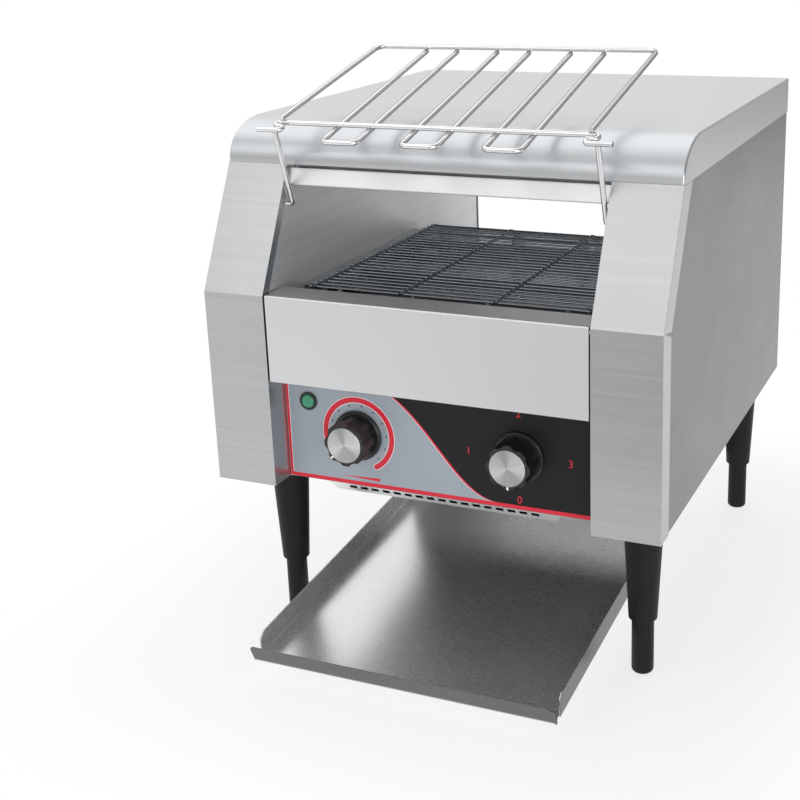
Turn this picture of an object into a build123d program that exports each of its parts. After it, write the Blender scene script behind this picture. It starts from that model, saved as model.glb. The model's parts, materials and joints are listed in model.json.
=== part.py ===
"""Conveyor toaster of folded steel sheet, with its wire belt and drive, heaters, controls, rack and tray."""
from build123d import *
import os
from math import atan2, cos, pi, radians, sin, tan

# All sizes are in millimetres. While modelling, X runs across, Y from the column faces (0) to the back,
# and Z up from the table. At the end the whole toaster is moved so that its plan is centred on the origin.

# Housing
body_width = 368.0
body_depth = 418.0
floor_height = 138.0
kink_rise = 156.0
slant_rise = 94.0
cover_rise = 31.0
slant_setback = 48.5
column_width = 52.5
sheet = 1.0
overrun = 5.0
touch_gap = 0.3

# Column covers
column_side_flange = 19.5
column_notch = 1.6
column_return_low = 24.0
column_return_kink = 21.5
column_return_top = 9.0

# Side panels
panel_inset = 6.0
panel_tuck = 12.0
panel_rear_flange = 14.0

# Top cover
cover_upright = 2.0
cover_run = 47.0

# Lintel over the feed mouth
lintel_drop = 16.0
lintel_height = 13.0
lintel_inset = 4.76
lintel_flange = 12.0

# Front panel
front_panel_gap = 1.3
front_panel_face = 0.5
front_panel_rise = 1.0
front_panel_height = 70.0
front_panel_shelf = 29.0

# Control panel, overlay and lamp
control_panel_lap = 8.0
overlay_thickness = 0.4
overlay_gap = 0.5
control_knob_edge = 64.0
control_knob_drop = 0.5
lamp_edge = 21.1
lamp_drop = 20.5
lamp_bezel_radius = 7.4
lamp_bezel_thickness = 1.6
lamp_body_radius = 6.3
lamp_body_length = 22.0
lamp_lens_radius = 5.4
lamp_lens_length = 12.0
lamp_lens_crown = 1.2

# Vent pan under the control box
vent_pan_width = 200.0
vent_pan_depth = 96.0
vent_pan_drop = 9.5
vent_pan_draft = 6.5
vent_pan_front = 26.0
vent_slot_count = 17
vent_slot_pitch = 9.7
vent_slot_length = 6.4
vent_slot_height = 3.0

# Control box shield behind and above the control box
shield_back = 128.0

# Back panel
window_rim = 0.2
window_lift = 94.0
window_drop = 16.0
louvre_count = 9
louvre_pitch = 11.0
louvre_length = 30.0
louvre_height = 4.0
louvre_lift = 122.0

# Base frame
base_opening_rim = 1.5
base_opening_lead = 8.0
base_opening_rear_rim = 6.0

# Toasting tunnel: shafts, belt and sprockets
shaft_drop = 23.0
idler_y = 53.0
drive_inset = 140.0
shaft_radius = 5.0
shaft_overhang = 9.0
running_fit = 0.05
bush_radius = 7.0
bush_flange_radius = 9.5
bush_flange_thickness = 1.5
bush_length = 8.0
belt_radius = 18.0
belt_wire_radius = 1.0
belt_side_gap = 10.5
belt_wire_count = 64
belt_link_offsets_shares = (-0.97, -0.33, 0.33, 0.97)
belt_link_width = 2.6
belt_link_thickness = 1.5
sprocket_offsets_shares = (-0.79, -0.26, 0.26, 0.79)
sprocket_width = 3.0
sprocket_teeth = 12
sprocket_tooth_depth = 3.4
rail_width = 24.0
rail_tube_gap = 1.7
rail_thickness = 1.2
rail_end_gap = 10.0

# Heaters and reflectors
upper_tube_count = 4
upper_tube_front_inset = 95.0
upper_tube_rear_inset = 89.0
upper_tube_drop = 11.0
lower_tube_count = 3
lower_tube_inset = 50.0
lower_tube_drop = 1.0
tube_radius = 4.0
tube_overhang = 16.0
insulator_radius = 7.0
insulator_length = 9.0
insulator_flange_radius = 9.0
insulator_flange_thickness = 2.5
upper_reflector_front = 62.0
upper_reflector_rear_gap = 14.0
upper_reflector_lap = 8.0
upper_reflector_lip = 9.0
lower_reflector_gap = 4.0
lower_reflector_end_gap = 22.0
lower_reflector_flange = 7.0

# Chain drive in the right housing
motor_reach = 57.0
motor_drop = 57.0
gearbox_radius = 30.0
gearbox_length = 18.0
motor_can_radius = 24.0
motor_can_length = 10.0
motor_bracket_width = 84.0
motor_bracket_height = 70.0
motor_bracket_thickness = 1.5
motor_shaft_radius = 3.5
motor_shaft_seat = 9.0
wheel_teeth = 20
wheel_radius = 22.0
pinion_teeth = 10
pinion_radius = 11.0
chain_tooth_depth = 3.0
chain_wheel_width = 3.0
chain_gap = 0.4
chain_thickness = 3.0
chain_width = 4.5
wheel_hub_radius = 9.0
wheel_hub_length = 7.0
chain_standoff = 5.0

# Controls behind and on the panel
controller_width = 44.0
controller_height = 50.0
controller_depth = 32.0
switch_width = 42.0
switch_height = 42.0
switch_depth = 46.0
neck_radius = 5.0
neck_length = 7.0
spindle_radius = 3.0
spindle_seat = 14.0
knob_gap = 0.8
knob_skirt_radius = 20.4
knob_skirt_thickness = 3.4
knob_skirt_bevel = 1.2
knob_grip_radius = 17.5
knob_grip_length = 19.6
knob_grip_bevel = 0.8
knob_scallops = 8
knob_scallop_radius = 7.5
knob_scallop_depth = 1.7
knob_cap_radius = 14.2
knob_cap_recess = 1.2
knob_cap_crown = 0.6
knob_well_radius = 8.0
knob_well_depth = 7.4
knob_bore_depth = 14.0
terminal_length = 62.0
terminal_width = 22.0
terminal_height = 18.0
terminal_y = 100.0
terminal_poles = 6
terminal_pole_radius = 3.0
terminal_pole_depth = 5.0

# Cord gland
gland_offset = 18.5
gland_lift = 32.0
gland_bore_radius = 4.5
gland_throat_radius = 6.0
gland_throat_lead = 2.0
gland_thread_radius = 8.0
gland_hex_radius = 12.0
gland_hex_length = 6.0
gland_nose_radius = 9.0
gland_nose_length = 8.0
gland_nut_length = 5.0

# Discharge chute
chute_side_gap = 7.5
chute_straight = 17.0
chute_bend = 110.0
chute_turn = 60.0
chute_run = 95.0

# Legs and levelling feet
leg_offset = 22.5
leg_front_y = 59.0
leg_rear_inset = 32.0
leg_top_radius = 16.0
leg_low_radius = 11.2
leg_low = 47.0
leg_stud_radius = 4.0
leg_stud_length = 12.0
leg_nut_radius = 7.5
leg_nut_length = 6.5
foot_radius = 8.7
foot_round = 3.5
foot_stem_radius = 5.0
foot_stem_length = 44.0

# Collecting tray and its runners
tray_inset = 6.7
tray_front_y = -57.0
tray_front_z = 14.3
tray_slope = 4.6
tray_length = 455.0
tray_wall = 19.0
tray_wall_start = 9.0
tray_wall_round = 8.0
tray_lip = 18.5
tray_lip_lean = 20.0
tray_lip_round = 4.0
tray_side_gap = 0.5
runner_front = 225.0
runner_rear_gap = 13.0
runner_lip = 9.0
runner_flange = 9.0

# Feed rack of bent wire
rack_wire_radius = 2.0
rack_pivot_inset = 13.6
rack_pivot_drop = 31.0
rack_pin_length = 7.0
rack_leg_gap = 3.5
rack_bar_reach = 15.3
rack_bar_rise = 4.0
rack_slope = 13.1
rack_length = 167.0
rack_side_inset = 5.5
rack_corner = 8.0
rack_hook_set = 0.4
rack_hook_length = 7.5
rack_stub_reach = 12.2
rack_hook_pitch = 5.0
rack_hook_fall = 26.0
rack_hook_bend_share = 0.48
rack_weld = 0.25
rack_leg_bend = 3.0
hairpin_count = 3
hairpin_pitch = 64.0
hairpin_half_gap = 14.0
hairpin_lead = 24.0
hairpin_bend = 5.0

# Fasteners on the back
screw_head_radius = 3.6
screw_head_height = 2.2
screw_shank_radius = 1.9
screw_shank_length = 5.0
screw_edge = 9.0
screw_rows = 4

# Values worked out from the sizes above
half_width = body_width / 2
inner_half = half_width - column_width
wall_inside = inner_half + sheet
wall_outside = wall_inside + sheet
kink_height = floor_height + kink_rise
side_height = kink_height + slant_rise
cover_height = side_height + cover_rise
panel_face = half_width - sheet
panel_inside = panel_face - sheet
floor_top = floor_height + sheet
back_inside = body_depth - sheet
slant = atan2(slant_setback, side_height - kink_height)
panel_y = column_return_low
overlay_face = panel_y - overlay_thickness
panel_back = panel_y + sheet
front_panel_top = kink_height + front_panel_rise
front_panel_low = front_panel_top - front_panel_height
box_top = front_panel_low + sheet
control_knob_x = inner_half - control_knob_edge
control_knob_z = (floor_height + front_panel_low) / 2 - control_knob_drop
lamp_x = lamp_edge - inner_half
lamp_z = front_panel_low - lamp_drop
window_half = inner_half - window_rim
window_low = floor_height + window_lift
window_top = side_height - window_drop
shaft_height = front_panel_top - shaft_drop
drive_y = body_depth - drive_inset
belt_span = drive_y - idler_y
belt_middle = (idler_y + drive_y) / 2
belt_half_width = inner_half - belt_side_gap
upper_tube_height = side_height - upper_tube_drop
lower_tube_height = shaft_height - lower_tube_drop
motor_y = drive_y + motor_reach
motor_z = shaft_height - motor_drop
gland_x = -wall_outside - gland_offset
gland_z = floor_height + gland_lift
leg_x = inner_half + leg_offset
leg_rear_y = body_depth - leg_rear_inset
pi_turn = 2 * pi


def slanted_y(height, inset):
    """Y of a line that follows the columns' slanted face, set back square to it by inset."""
    return (height - kink_height) * tan(slant) + inset / cos(slant)


def kink_z(inset):
    """Height at which a line set back from the column's face turns from upright to slanted."""
    return kink_height - inset * tan(slant / 2)


def side_plate(points, x_low, thickness):
    """Flat plate, square to X, from an outline of (y, z) points."""
    face = make_face(Plane.YZ * Polyline(*points, close=True))
    return Pos(x_low, 0, 0) * extrude(face, amount=thickness, dir=(1, 0, 0))


def block(x_low, x_high, y_low, y_high, z_low, z_high):
    """Rectangular block between two corners."""
    centre = Pos((x_low + x_high) / 2, (y_low + y_high) / 2, (z_low + z_high) / 2)
    return centre * Box(x_high - x_low, y_high - y_low, z_high - z_low)


def rod(y, z, radius, x_low, x_high):
    """Round bar along X."""
    return Pos((x_low + x_high) / 2, y, z) * Rot(0, 90, 0) * Cylinder(radius, x_high - x_low)


def plug(x, z, radius, y_low, y_high):
    """Round bar along Y."""
    return Pos(x, (y_low + y_high) / 2, z) * Rot(90, 0, 0) * Cylinder(radius, y_high - y_low)


def post(x, y, radius, z_low, z_high):
    """Round bar along Z."""
    return Pos(x, y, (z_low + z_high) / 2) * Cylinder(radius, z_high - z_low)


def bent_wire(points, bend, radius):
    """Round wire along straight runs joined by bends."""
    path = FilletPolyline(*points, radius=bend)
    return sweep(Plane(path @ 0, z_dir=path % 0) * Circle(radius), path=path)


def toothed_wheel(teeth, tip_radius, tooth_depth, width):
    """Sprocket disc centred on the origin, with its axis along X and plain pointed teeth."""
    points = []
    for step in range(teeth):
        for radius, share in ((tip_radius - tooth_depth, 0), (tip_radius, 1 / 3), (tip_radius, 1 / 2)):
            angle = (step + share) * pi_turn / teeth
            points.append((radius * cos(angle), radius * sin(angle)))
    return side_plate(points, -width / 2, width)


def left_of(solid):
    """Mirror image on the left side."""
    return mirror(solid, about=Plane.YZ)


def group(pieces):
    """Separate solids of one kind, kept together as one piece of the parts list."""
    return Compound([solid for piece in pieces for solid in piece.solids()])


parts = {}


def add_pair(name, right):
    """Store a right-hand piece and its left-hand mirror image."""
    parts["right_" + name] = right
    parts["left_" + name] = left_of(right)


# Column covers: a front sheet with a side flange outside and a return inside
def column_cover():
    front = side_plate(
        [
            (0, floor_height),
            (0, kink_height),
            (slant_setback, side_height),
            (slanted_y(side_height, sheet), side_height),
            (sheet, kink_z(sheet)),
            (sheet, floor_height),
        ],
        inner_half,
        column_width,
    )
    notch_z = kink_z(column_side_flange)
    flange_run = column_notch * tan(slant)
    outer = side_plate(
        [
            (0, floor_height),
            (column_side_flange, floor_height),
            (column_side_flange, notch_z - column_notch),
            (sheet, kink_z(sheet)),
            (column_side_flange + flange_run, notch_z + column_notch),
            (slanted_y(side_height, column_side_flange), side_height),
            (slant_setback, side_height),
            (0, kink_height),
        ],
        panel_face,
        sheet,
    )
    inner = side_plate(
        [
            (0, floor_height),
            (column_return_low, floor_height),
            (column_return_low, front_panel_top),
            (column_return_kink, front_panel_top),
            (slant_setback + column_return_top, side_height),
            (slant_setback, side_height),
            (0, kink_height),
        ],
        inner_half,
        sheet,
    )
    return front + outer + inner


add_pair("column_cover", column_cover())


# Screw places on the back, shared by the back panel, its screws and the side panels' rear flanges
screw_x = panel_inside - panel_rear_flange / 2
screw_span = side_height - floor_height - 2 * screw_edge
screw_heights = [floor_height + screw_edge + row * screw_span / (screw_rows - 1) for row in range(screw_rows)]


# Side panels: tucked behind the column flange in front and inside the cover's skirt on top
def side_panel():
    top = side_height + panel_tuck
    plate = side_plate(
        [
            (panel_inset, floor_height),
            (panel_inset, kink_z(panel_inset)),
            (slanted_y(top, panel_inset), top),
            (back_inside, top),
            (back_inside, floor_height),
        ],
        panel_inside,
        sheet,
    )
    flange_y = back_inside - sheet
    flange_end = panel_inside - panel_rear_flange
    flange = block(flange_end, panel_face, flange_y, back_inside, floor_height, side_height)
    holes = [plug(screw_x, z, screw_shank_radius, flange_y - overrun, body_depth) for z in screw_heights]
    return plate + (flange - holes)


add_pair("side_panel", side_panel())


# Inner walls of the toasting tunnel, pierced for the shafts, the heating tubes and the rack's pins
def tube_row(count, first, last, height):
    pitch = (last - first) / (count - 1)
    return [(first + n * pitch, height) for n in range(count)]


upper_tubes = tube_row(
    upper_tube_count, upper_tube_front_inset, body_depth - upper_tube_rear_inset, upper_tube_height
)
lower_tubes = tube_row(
    lower_tube_count, idler_y + lower_tube_inset, drive_y - lower_tube_inset, lower_tube_height
)


rack_pivot_z = side_height - rack_pivot_drop
rack_pivot_y = slanted_y(rack_pivot_z, rack_pivot_inset)


def inner_wall():
    front = sheet + touch_gap
    plate = side_plate(
        [
            (panel_back, floor_top),
            (panel_back, box_top + sheet),
            (front, box_top + sheet),
            (front, kink_z(front)),
            (slanted_y(side_height, front), side_height),
            (back_inside, side_height),
            (back_inside, floor_top),
        ],
        wall_inside,
        sheet,
    )
    low, high = wall_inside - overrun, wall_outside + overrun
    for y in (idler_y, drive_y):
        plate -= rod(y, shaft_height, bush_radius, low, high)
    for y, z in upper_tubes + lower_tubes:
        plate -= rod(y, z, insulator_radius, low, high)
    return plate - rod(rack_pivot_y, rack_pivot_z, rack_wire_radius + running_fit, low, high)


add_pair("inner_wall", inner_wall())


# Top cover: a lid whose front shoulder is a quarter of an ellipse, open underneath
def cover_outline(inset, bottom):
    front = slant_setback + inset
    top = cover_height - inset
    back = body_depth - inset
    bend_low = side_height + cover_upright
    bend_back = slant_setback + cover_run
    line = Polyline((front, bottom), (front, bend_low))
    line += EllipticalCenterArc((bend_back, bend_low), bend_back - front, top - bend_low, 90, arc_size=90)
    line += Polyline((bend_back, top), (back, top), (back, bottom), (front, bottom))
    return make_face(Plane.YZ * line)


def top_cover():
    outside = extrude(cover_outline(0, side_height), amount=body_width, dir=(1, 0, 0))
    inside_width = body_width - 2 * sheet
    inside = extrude(cover_outline(sheet, side_height - overrun), amount=inside_width, dir=(1, 0, 0))
    return Pos(-half_width, 0, 0) * outside - Pos(-inside_width / 2, 0, 0) * inside


parts["top_cover"] = top_cover()


# Lintel: follows the slanted columns and leaves a dark line under the cover
def lintel():
    low = side_height - lintel_drop
    top = low + lintel_height
    back = lintel_inset + sheet
    flange_end = slanted_y(low, lintel_inset) + lintel_flange
    outline = [
        (slanted_y(low, lintel_inset), low),
        (slanted_y(top, lintel_inset), top),
        (slanted_y(top, back), top),
        (slanted_y(low + sheet, back), low + sheet),
        (flange_end, low + sheet),
        (flange_end, low),
    ]
    return side_plate(outline, -inner_half, 2 * inner_half)


parts["lintel"] = lintel()


# Front panel: a channel with a shelf above towards the belt and a foot below against the control panel
def front_panel():
    reach = inner_half - front_panel_gap
    face_back = front_panel_face + sheet
    outline = [
        (front_panel_face, front_panel_low),
        (front_panel_face, front_panel_top),
        (front_panel_shelf, front_panel_top),
        (front_panel_shelf, front_panel_top - sheet),
        (face_back, front_panel_top - sheet),
        (face_back, box_top),
        (panel_y, box_top),
        (panel_y, front_panel_low),
    ]
    return side_plate(outline, -reach, 2 * reach)


parts["front_panel"] = front_panel()


# Control panel and its printed overlay
control_centres = ((-control_knob_x, control_knob_z), (control_knob_x, control_knob_z))


def pierced_panel(half, y_low, y_high, z_low, z_high):
    plate = block(-half, half, y_low, y_high, z_low, z_high)
    for x, z in control_centres:
        plate -= plug(x, z, neck_radius, y_low - overrun, y_high + overrun)
    return plate - plug(lamp_x, lamp_z, lamp_body_radius, y_low - overrun, y_high + overrun)


control_panel_half = inner_half + control_panel_lap
parts["control_panel"] = pierced_panel(control_panel_half, panel_y, panel_back, floor_top, box_top)
parts["panel_overlay"] = pierced_panel(
    inner_half - overlay_gap, overlay_face, panel_y, floor_height + overlay_gap, front_panel_low
)


# Base frame: floor of the housing, open in the middle where the toast drops out
def base_frame():
    plate = block(-panel_inside, panel_inside, panel_y, back_inside - sheet, floor_height, floor_top)
    for side in (-1, 1):
        low, high = sorted((side * wall_inside, side * panel_inside))
        plate += block(low, high, sheet, panel_y, floor_height, floor_top)
    opening_half = inner_half - base_opening_rim
    plate -= block(
        -opening_half,
        opening_half,
        shield_back + base_opening_lead,
        back_inside - base_opening_rear_rim,
        floor_height - overrun,
        floor_top + overrun,
    )
    for x, y in leg_places:
        plate -= post(x, y, leg_stud_radius, floor_height - overrun, floor_top + overrun)
    return plate


leg_places = [(x, y) for y in (leg_front_y, leg_rear_y) for x in (-leg_x, leg_x)]
parts["base_frame"] = base_frame()


# Vent pan: a shallow pressed pan with slanted walls and a row of slots in its front wall
def frustum(width, depth, drop, draft, front, top):
    upper = Plane(origin=(0, front + depth / 2, top)) * Rectangle(width, depth)
    lower = Plane(origin=(0, front + depth / 2, top - drop)) * Rectangle(width - 2 * draft, depth - 2 * draft)
    return loft([upper, lower])


def vent_pan():
    outside = frustum(
        vent_pan_width, vent_pan_depth, vent_pan_drop, vent_pan_draft, vent_pan_front, floor_height
    )
    wall = 2 * sheet
    inner_front = vent_pan_front + sheet
    inside = frustum(
        vent_pan_width - wall,
        vent_pan_depth - wall,
        vent_pan_drop - sheet,
        vent_pan_draft * (vent_pan_drop - sheet) / vent_pan_drop,
        inner_front,
        floor_height,
    )
    pan = outside - inside
    slot_z = floor_height - vent_pan_drop / 2
    slots = []
    for n in range(vent_slot_count):
        x = (n - (vent_slot_count - 1) / 2) * vent_slot_pitch
        slots.append(
            block(
                x - vent_slot_length / 2,
                x + vent_slot_length / 2,
                vent_pan_front - overrun,
                vent_pan_front + vent_pan_draft + 2 * sheet,
                slot_z - vent_slot_height / 2,
                slot_z + vent_slot_height / 2,
            )
        )
    return pan - slots


parts["vent_pan"] = vent_pan()


# Shield that parts the control box from the heat above and the chute behind
parts["control_box_shield"] = side_plate(
    [
        (panel_back, box_top),
        (panel_back, box_top + sheet),
        (shield_back, box_top + sheet),
        (shield_back, floor_top),
        (shield_back - sheet, floor_top),
        (shield_back - sheet, box_top),
    ],
    -wall_inside,
    2 * wall_inside,
)


# Back panel: window behind the belt, louvres to both housings, and the hole for the cord gland
def back_panel():
    plate = block(-panel_face, panel_face, back_inside, body_depth, floor_height, side_height)
    front, back = back_inside - overrun, body_depth + overrun
    plate -= block(-window_half, window_half, front, back, window_low, window_top)
    middle = (window_half + panel_inside) / 2
    cuts = [plug(gland_x, gland_z, gland_thread_radius, front, back)]
    for side in (-1, 1):
        cuts += [plug(side * screw_x, z, screw_shank_radius, front, back) for z in screw_heights]
        for n in range(louvre_count):
            low = floor_height + louvre_lift + n * louvre_pitch
            x = side * middle
            cuts.append(
                block(x - louvre_length / 2, x + louvre_length / 2, front, back, low, low + louvre_height)
            )
    return plate - cuts


parts["back_panel"] = back_panel()


# Discharge chute: upright behind the belt, then one wide bend, then a slope down to the tray
def chute_line(inset):
    """Points of the chute's face, set in by inset from its back face."""
    back = back_inside - inset
    radius = chute_bend - inset
    centre = (back_inside - chute_bend, window_low - chute_straight)
    turn = radians(chute_turn)
    bend_end = (centre[0] + radius * cos(turn), centre[1] - radius * sin(turn))
    bend_middle = (centre[0] + radius * cos(turn / 2), centre[1] - radius * sin(turn / 2))
    end = (bend_end[0] - chute_run * sin(turn), bend_end[1] - chute_run * cos(turn))
    return (back, window_low), (back, centre[1]), bend_middle, bend_end, end


def discharge_chute():
    outer = chute_line(0)
    inner = chute_line(sheet)
    line = Polyline(outer[0], outer[1])
    line += ThreePointArc(outer[1], outer[2], outer[3])
    line += Polyline(outer[3], outer[4], inner[4], inner[3])
    line += ThreePointArc(inner[3], inner[2], inner[1])
    line += Polyline(inner[1], inner[0], outer[0])
    face = make_face(Plane.YZ * line)
    half = inner_half - chute_side_gap
    return Pos(-half, 0, 0) * extrude(face, amount=2 * half, dir=(1, 0, 0))


parts["discharge_chute"] = discharge_chute()


# Reflectors over the upper tubes and under the lower ones
def upper_reflector():
    half = wall_outside + upper_reflector_lap
    rear = body_depth - upper_reflector_rear_gap
    plate = block(-half, half, upper_reflector_front, rear, side_height, side_height + sheet)
    lip_half = wall_inside - touch_gap
    for low in (upper_reflector_front, rear - sheet):
        plate += block(-lip_half, lip_half, low, low + sheet, side_height - upper_reflector_lip, side_height)
    return plate


def lower_reflector():
    top = shaft_height - belt_radius + belt_wire_radius + lower_reflector_gap + sheet
    front, back = idler_y + lower_reflector_end_gap, drive_y - lower_reflector_end_gap
    plate = block(-wall_inside, wall_inside, front, back, top - sheet, top)
    for side in (-1, 1):
        low, high = sorted((side * wall_inside, side * (wall_inside - sheet)))
        plate += block(low, high, front, back, top, top + lower_reflector_flange)
    return plate


parts["upper_reflector"] = upper_reflector()
parts["lower_reflector"] = lower_reflector()


# Heating tubes and the ceramic insulators that hold them in the inner walls
def heating_tubes(places):
    reach = wall_outside + tube_overhang
    return group([rod(y, z, tube_radius, -reach, reach) for y, z in places])


def insulator(y, z):
    body = rod(y, z, insulator_radius, wall_inside, wall_inside + insulator_length)
    flange_end = wall_outside + insulator_flange_thickness
    body += rod(y, z, insulator_flange_radius, wall_outside, flange_end)
    return body - rod(y, z, tube_radius, wall_inside - overrun, wall_inside + insulator_length + overrun)


parts["upper_heating_tubes"] = heating_tubes(upper_tubes)
parts["lower_heating_tubes"] = heating_tubes(lower_tubes)
right_insulators = [insulator(y, z) for y, z in upper_tubes + lower_tubes]
parts["heater_insulators"] = group(right_insulators + [left_of(one) for one in right_insulators])


# Ladder belt: straight cross wires round both shafts, tied by four narrow link strands
def belt_point(distance):
    """Place on the belt's middle line, measured along it from the start of the upper run."""
    half_turn = pi * belt_radius
    if distance < belt_span:
        return idler_y + distance, shaft_height + belt_radius
    distance -= belt_span
    if distance < half_turn:
        angle = pi / 2 - distance / belt_radius
        return drive_y + belt_radius * cos(angle), shaft_height + belt_radius * sin(angle)
    distance -= half_turn
    if distance < belt_span:
        return drive_y - distance, shaft_height - belt_radius
    angle = -pi / 2 - (distance - belt_span) / belt_radius
    return idler_y + belt_radius * cos(angle), shaft_height + belt_radius * sin(angle)


def belt_strand(x):
    start = (x - belt_link_width / 2, belt_middle, shaft_height)
    plane = Plane(origin=start, x_dir=(0, 1, 0), z_dir=(1, 0, 0))
    outer = SlotCenterToCenter(belt_span, 2 * belt_radius + belt_link_thickness)
    inner = SlotCenterToCenter(belt_span, 2 * belt_radius - belt_link_thickness)
    return extrude(plane * (outer - inner), amount=belt_link_width)


def conveyor_belt():
    loop = 2 * belt_span + pi_turn * belt_radius
    wires = []
    for n in range(belt_wire_count):
        y, z = belt_point((n + 1 / 2) * loop / belt_wire_count)
        wires.append(rod(y, z, belt_wire_radius, -belt_half_width, belt_half_width))
    strands = [belt_strand(share * belt_half_width) for share in belt_link_offsets_shares]
    return strands[0].fuse(*strands[1:], *wires)


parts["conveyor_belt"] = conveyor_belt()


# Rails that carry the belt's upper run, folded from strip and fixed to the inner walls
def belt_rail():
    top = shaft_height + belt_radius - belt_wire_radius - touch_gap
    front = idler_y + rail_end_gap
    back = drive_y - rail_end_gap
    shelf = block(wall_inside - rail_width, wall_inside, front, back, top - rail_thickness, top)
    low = lower_tube_height + tube_radius + rail_tube_gap
    web = block(wall_inside - rail_thickness, wall_inside, front, back, low, top)
    return shelf + web


add_pair("belt_rail", belt_rail())


# Shafts, their sprockets and the bushes in the inner walls
sprocket_tip = belt_radius - belt_wire_radius - touch_gap


def belt_sprockets(y):
    wheels = []
    for share in sprocket_offsets_shares:
        wheel = toothed_wheel(sprocket_teeth, sprocket_tip, sprocket_tooth_depth, sprocket_width)
        bore = rod(0, 0, shaft_radius, -sprocket_width, sprocket_width)
        wheels.append(Pos(share * belt_half_width, y, shaft_height) * (wheel - bore))
    return group(wheels)


def shaft_bush(y):
    body = rod(y, shaft_height, bush_radius, wall_inside, wall_inside + bush_length)
    body += rod(y, shaft_height, bush_flange_radius, wall_inside - bush_flange_thickness, wall_inside)
    reach = wall_inside + bush_length + overrun
    return body - rod(y, shaft_height, shaft_radius + running_fit, wall_inside - 2 * overrun, reach)


bracket_face = wall_outside + motor_bracket_thickness
gearbox_start = bracket_face + motor_can_length
gearbox_face = gearbox_start + gearbox_length
motor_seat = gearbox_face - motor_shaft_seat
chain_plane = gearbox_face + chain_standoff
shaft_end = wall_inside + bush_length + shaft_overhang
drive_end = chain_plane + chain_wheel_width / 2 + touch_gap
parts["idler_shaft"] = rod(idler_y, shaft_height, shaft_radius, -shaft_end, shaft_end)
parts["drive_shaft"] = rod(drive_y, shaft_height, shaft_radius, -shaft_end, drive_end)
parts["idler_sprockets"] = belt_sprockets(idler_y)
parts["drive_sprockets"] = belt_sprockets(drive_y)
right_bushes = [shaft_bush(y) for y in (idler_y, drive_y)]
parts["shaft_bushes"] = group(right_bushes + [left_of(one) for one in right_bushes])


# Chain drive: gear motor on a bracket, its pinion, the chain and the wheel on the drive shaft
def chain_wheel():
    wheel = toothed_wheel(wheel_teeth, wheel_radius, chain_tooth_depth, chain_wheel_width)
    hub_start = -chain_wheel_width / 2 - wheel_hub_length
    wheel += rod(0, 0, wheel_hub_radius, hub_start, 0)
    wheel -= rod(0, 0, shaft_radius, hub_start - overrun, chain_wheel_width)
    return Pos(chain_plane, drive_y, shaft_height) * wheel


def gear_motor():
    body = rod(motor_y, motor_z, motor_can_radius, bracket_face, gearbox_start)
    body += rod(motor_y, motor_z, gearbox_radius, gearbox_start, gearbox_face)
    return body - rod(motor_y, motor_z, motor_shaft_radius + running_fit, motor_seat, gearbox_face + overrun)


def motor_pinion():
    wheel = toothed_wheel(pinion_teeth, pinion_radius, chain_tooth_depth, chain_wheel_width)
    shaft = rod(0, 0, motor_shaft_radius, motor_seat + touch_gap - chain_plane, chain_wheel_width / 2)
    return Pos(chain_plane, motor_y, motor_z) * (wheel + shaft)


def drive_chain():
    def loop(extra):
        plane = Plane(origin=(chain_plane - chain_width / 2, 0, 0), x_dir=(0, 1, 0), z_dir=(1, 0, 0))
        large = Pos(drive_y, shaft_height) * Circle(wheel_radius + chain_gap + extra)
        small = Pos(motor_y, motor_z) * Circle(pinion_radius + chain_gap + extra)
        return extrude(plane * make_hull(large.edges() + small.edges()), amount=chain_width)

    return loop(chain_thickness) - loop(0)


def motor_bracket():
    plate = block(
        wall_outside,
        bracket_face,
        motor_y - motor_bracket_width / 2,
        motor_y + motor_bracket_width / 2,
        motor_z - motor_bracket_height / 2,
        motor_z + motor_bracket_height / 2,
    )
    return plate


parts["chain_wheel"] = chain_wheel()
parts["gear_motor"] = gear_motor()
parts["motor_pinion"] = motor_pinion()
parts["drive_chain"] = drive_chain()
parts["motor_bracket"] = motor_bracket()


# Controls: bodies behind the panel, spindles through their necks, knobs and caps in front
def control_body(x, width, height, depth):
    z = control_knob_z
    body = block(x - width / 2, x + width / 2, panel_back, panel_back + depth, z - height / 2, z + height / 2)
    body += plug(x, z, neck_radius, overlay_face - neck_length, panel_back + sheet)
    bore_front = overlay_face - neck_length - overrun
    return body - plug(x, z, spindle_radius + running_fit, bore_front, panel_back + spindle_seat)


knob_back = overlay_face - knob_gap
spindle_front = knob_back - knob_bore_depth


def spindle(x):
    return plug(x, control_knob_z, spindle_radius, spindle_front, panel_back + spindle_seat - touch_gap)


def facing_front(solid, x):
    """Turn a piece that was made standing on Z so that it faces the front of the panel."""
    return Pos(x, knob_back, control_knob_z) * Rot(90, 0, 0) * solid


def upright(radius, low, high):
    return Pos(0, 0, (low + high) / 2) * Cylinder(radius, high - low)


knob_front = knob_skirt_thickness + knob_grip_length


def knob():
    skirt = upright(knob_skirt_radius, 0, knob_skirt_thickness)
    skirt = chamfer(skirt.edges().group_by(Axis.Z)[-1], knob_skirt_bevel)
    grip_face = Circle(knob_grip_radius)
    for n in range(knob_scallops):
        angle = (n + 1 / 2) * pi_turn / knob_scallops
        reach = knob_grip_radius + knob_scallop_radius - knob_scallop_depth
        grip_face -= Pos(reach * cos(angle), reach * sin(angle)) * Circle(knob_scallop_radius)
    grip = Pos(0, 0, knob_skirt_thickness) * extrude(grip_face, amount=knob_grip_length)
    grip = chamfer(grip.edges().group_by(Axis.Z)[-1], knob_grip_bevel)
    solid = skirt + grip
    solid -= upright(knob_cap_radius, knob_front - knob_cap_recess, knob_front + overrun)
    solid -= upright(knob_well_radius, -overrun, knob_well_depth)
    return solid - upright(spindle_radius, 0, knob_bore_depth)


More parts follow.
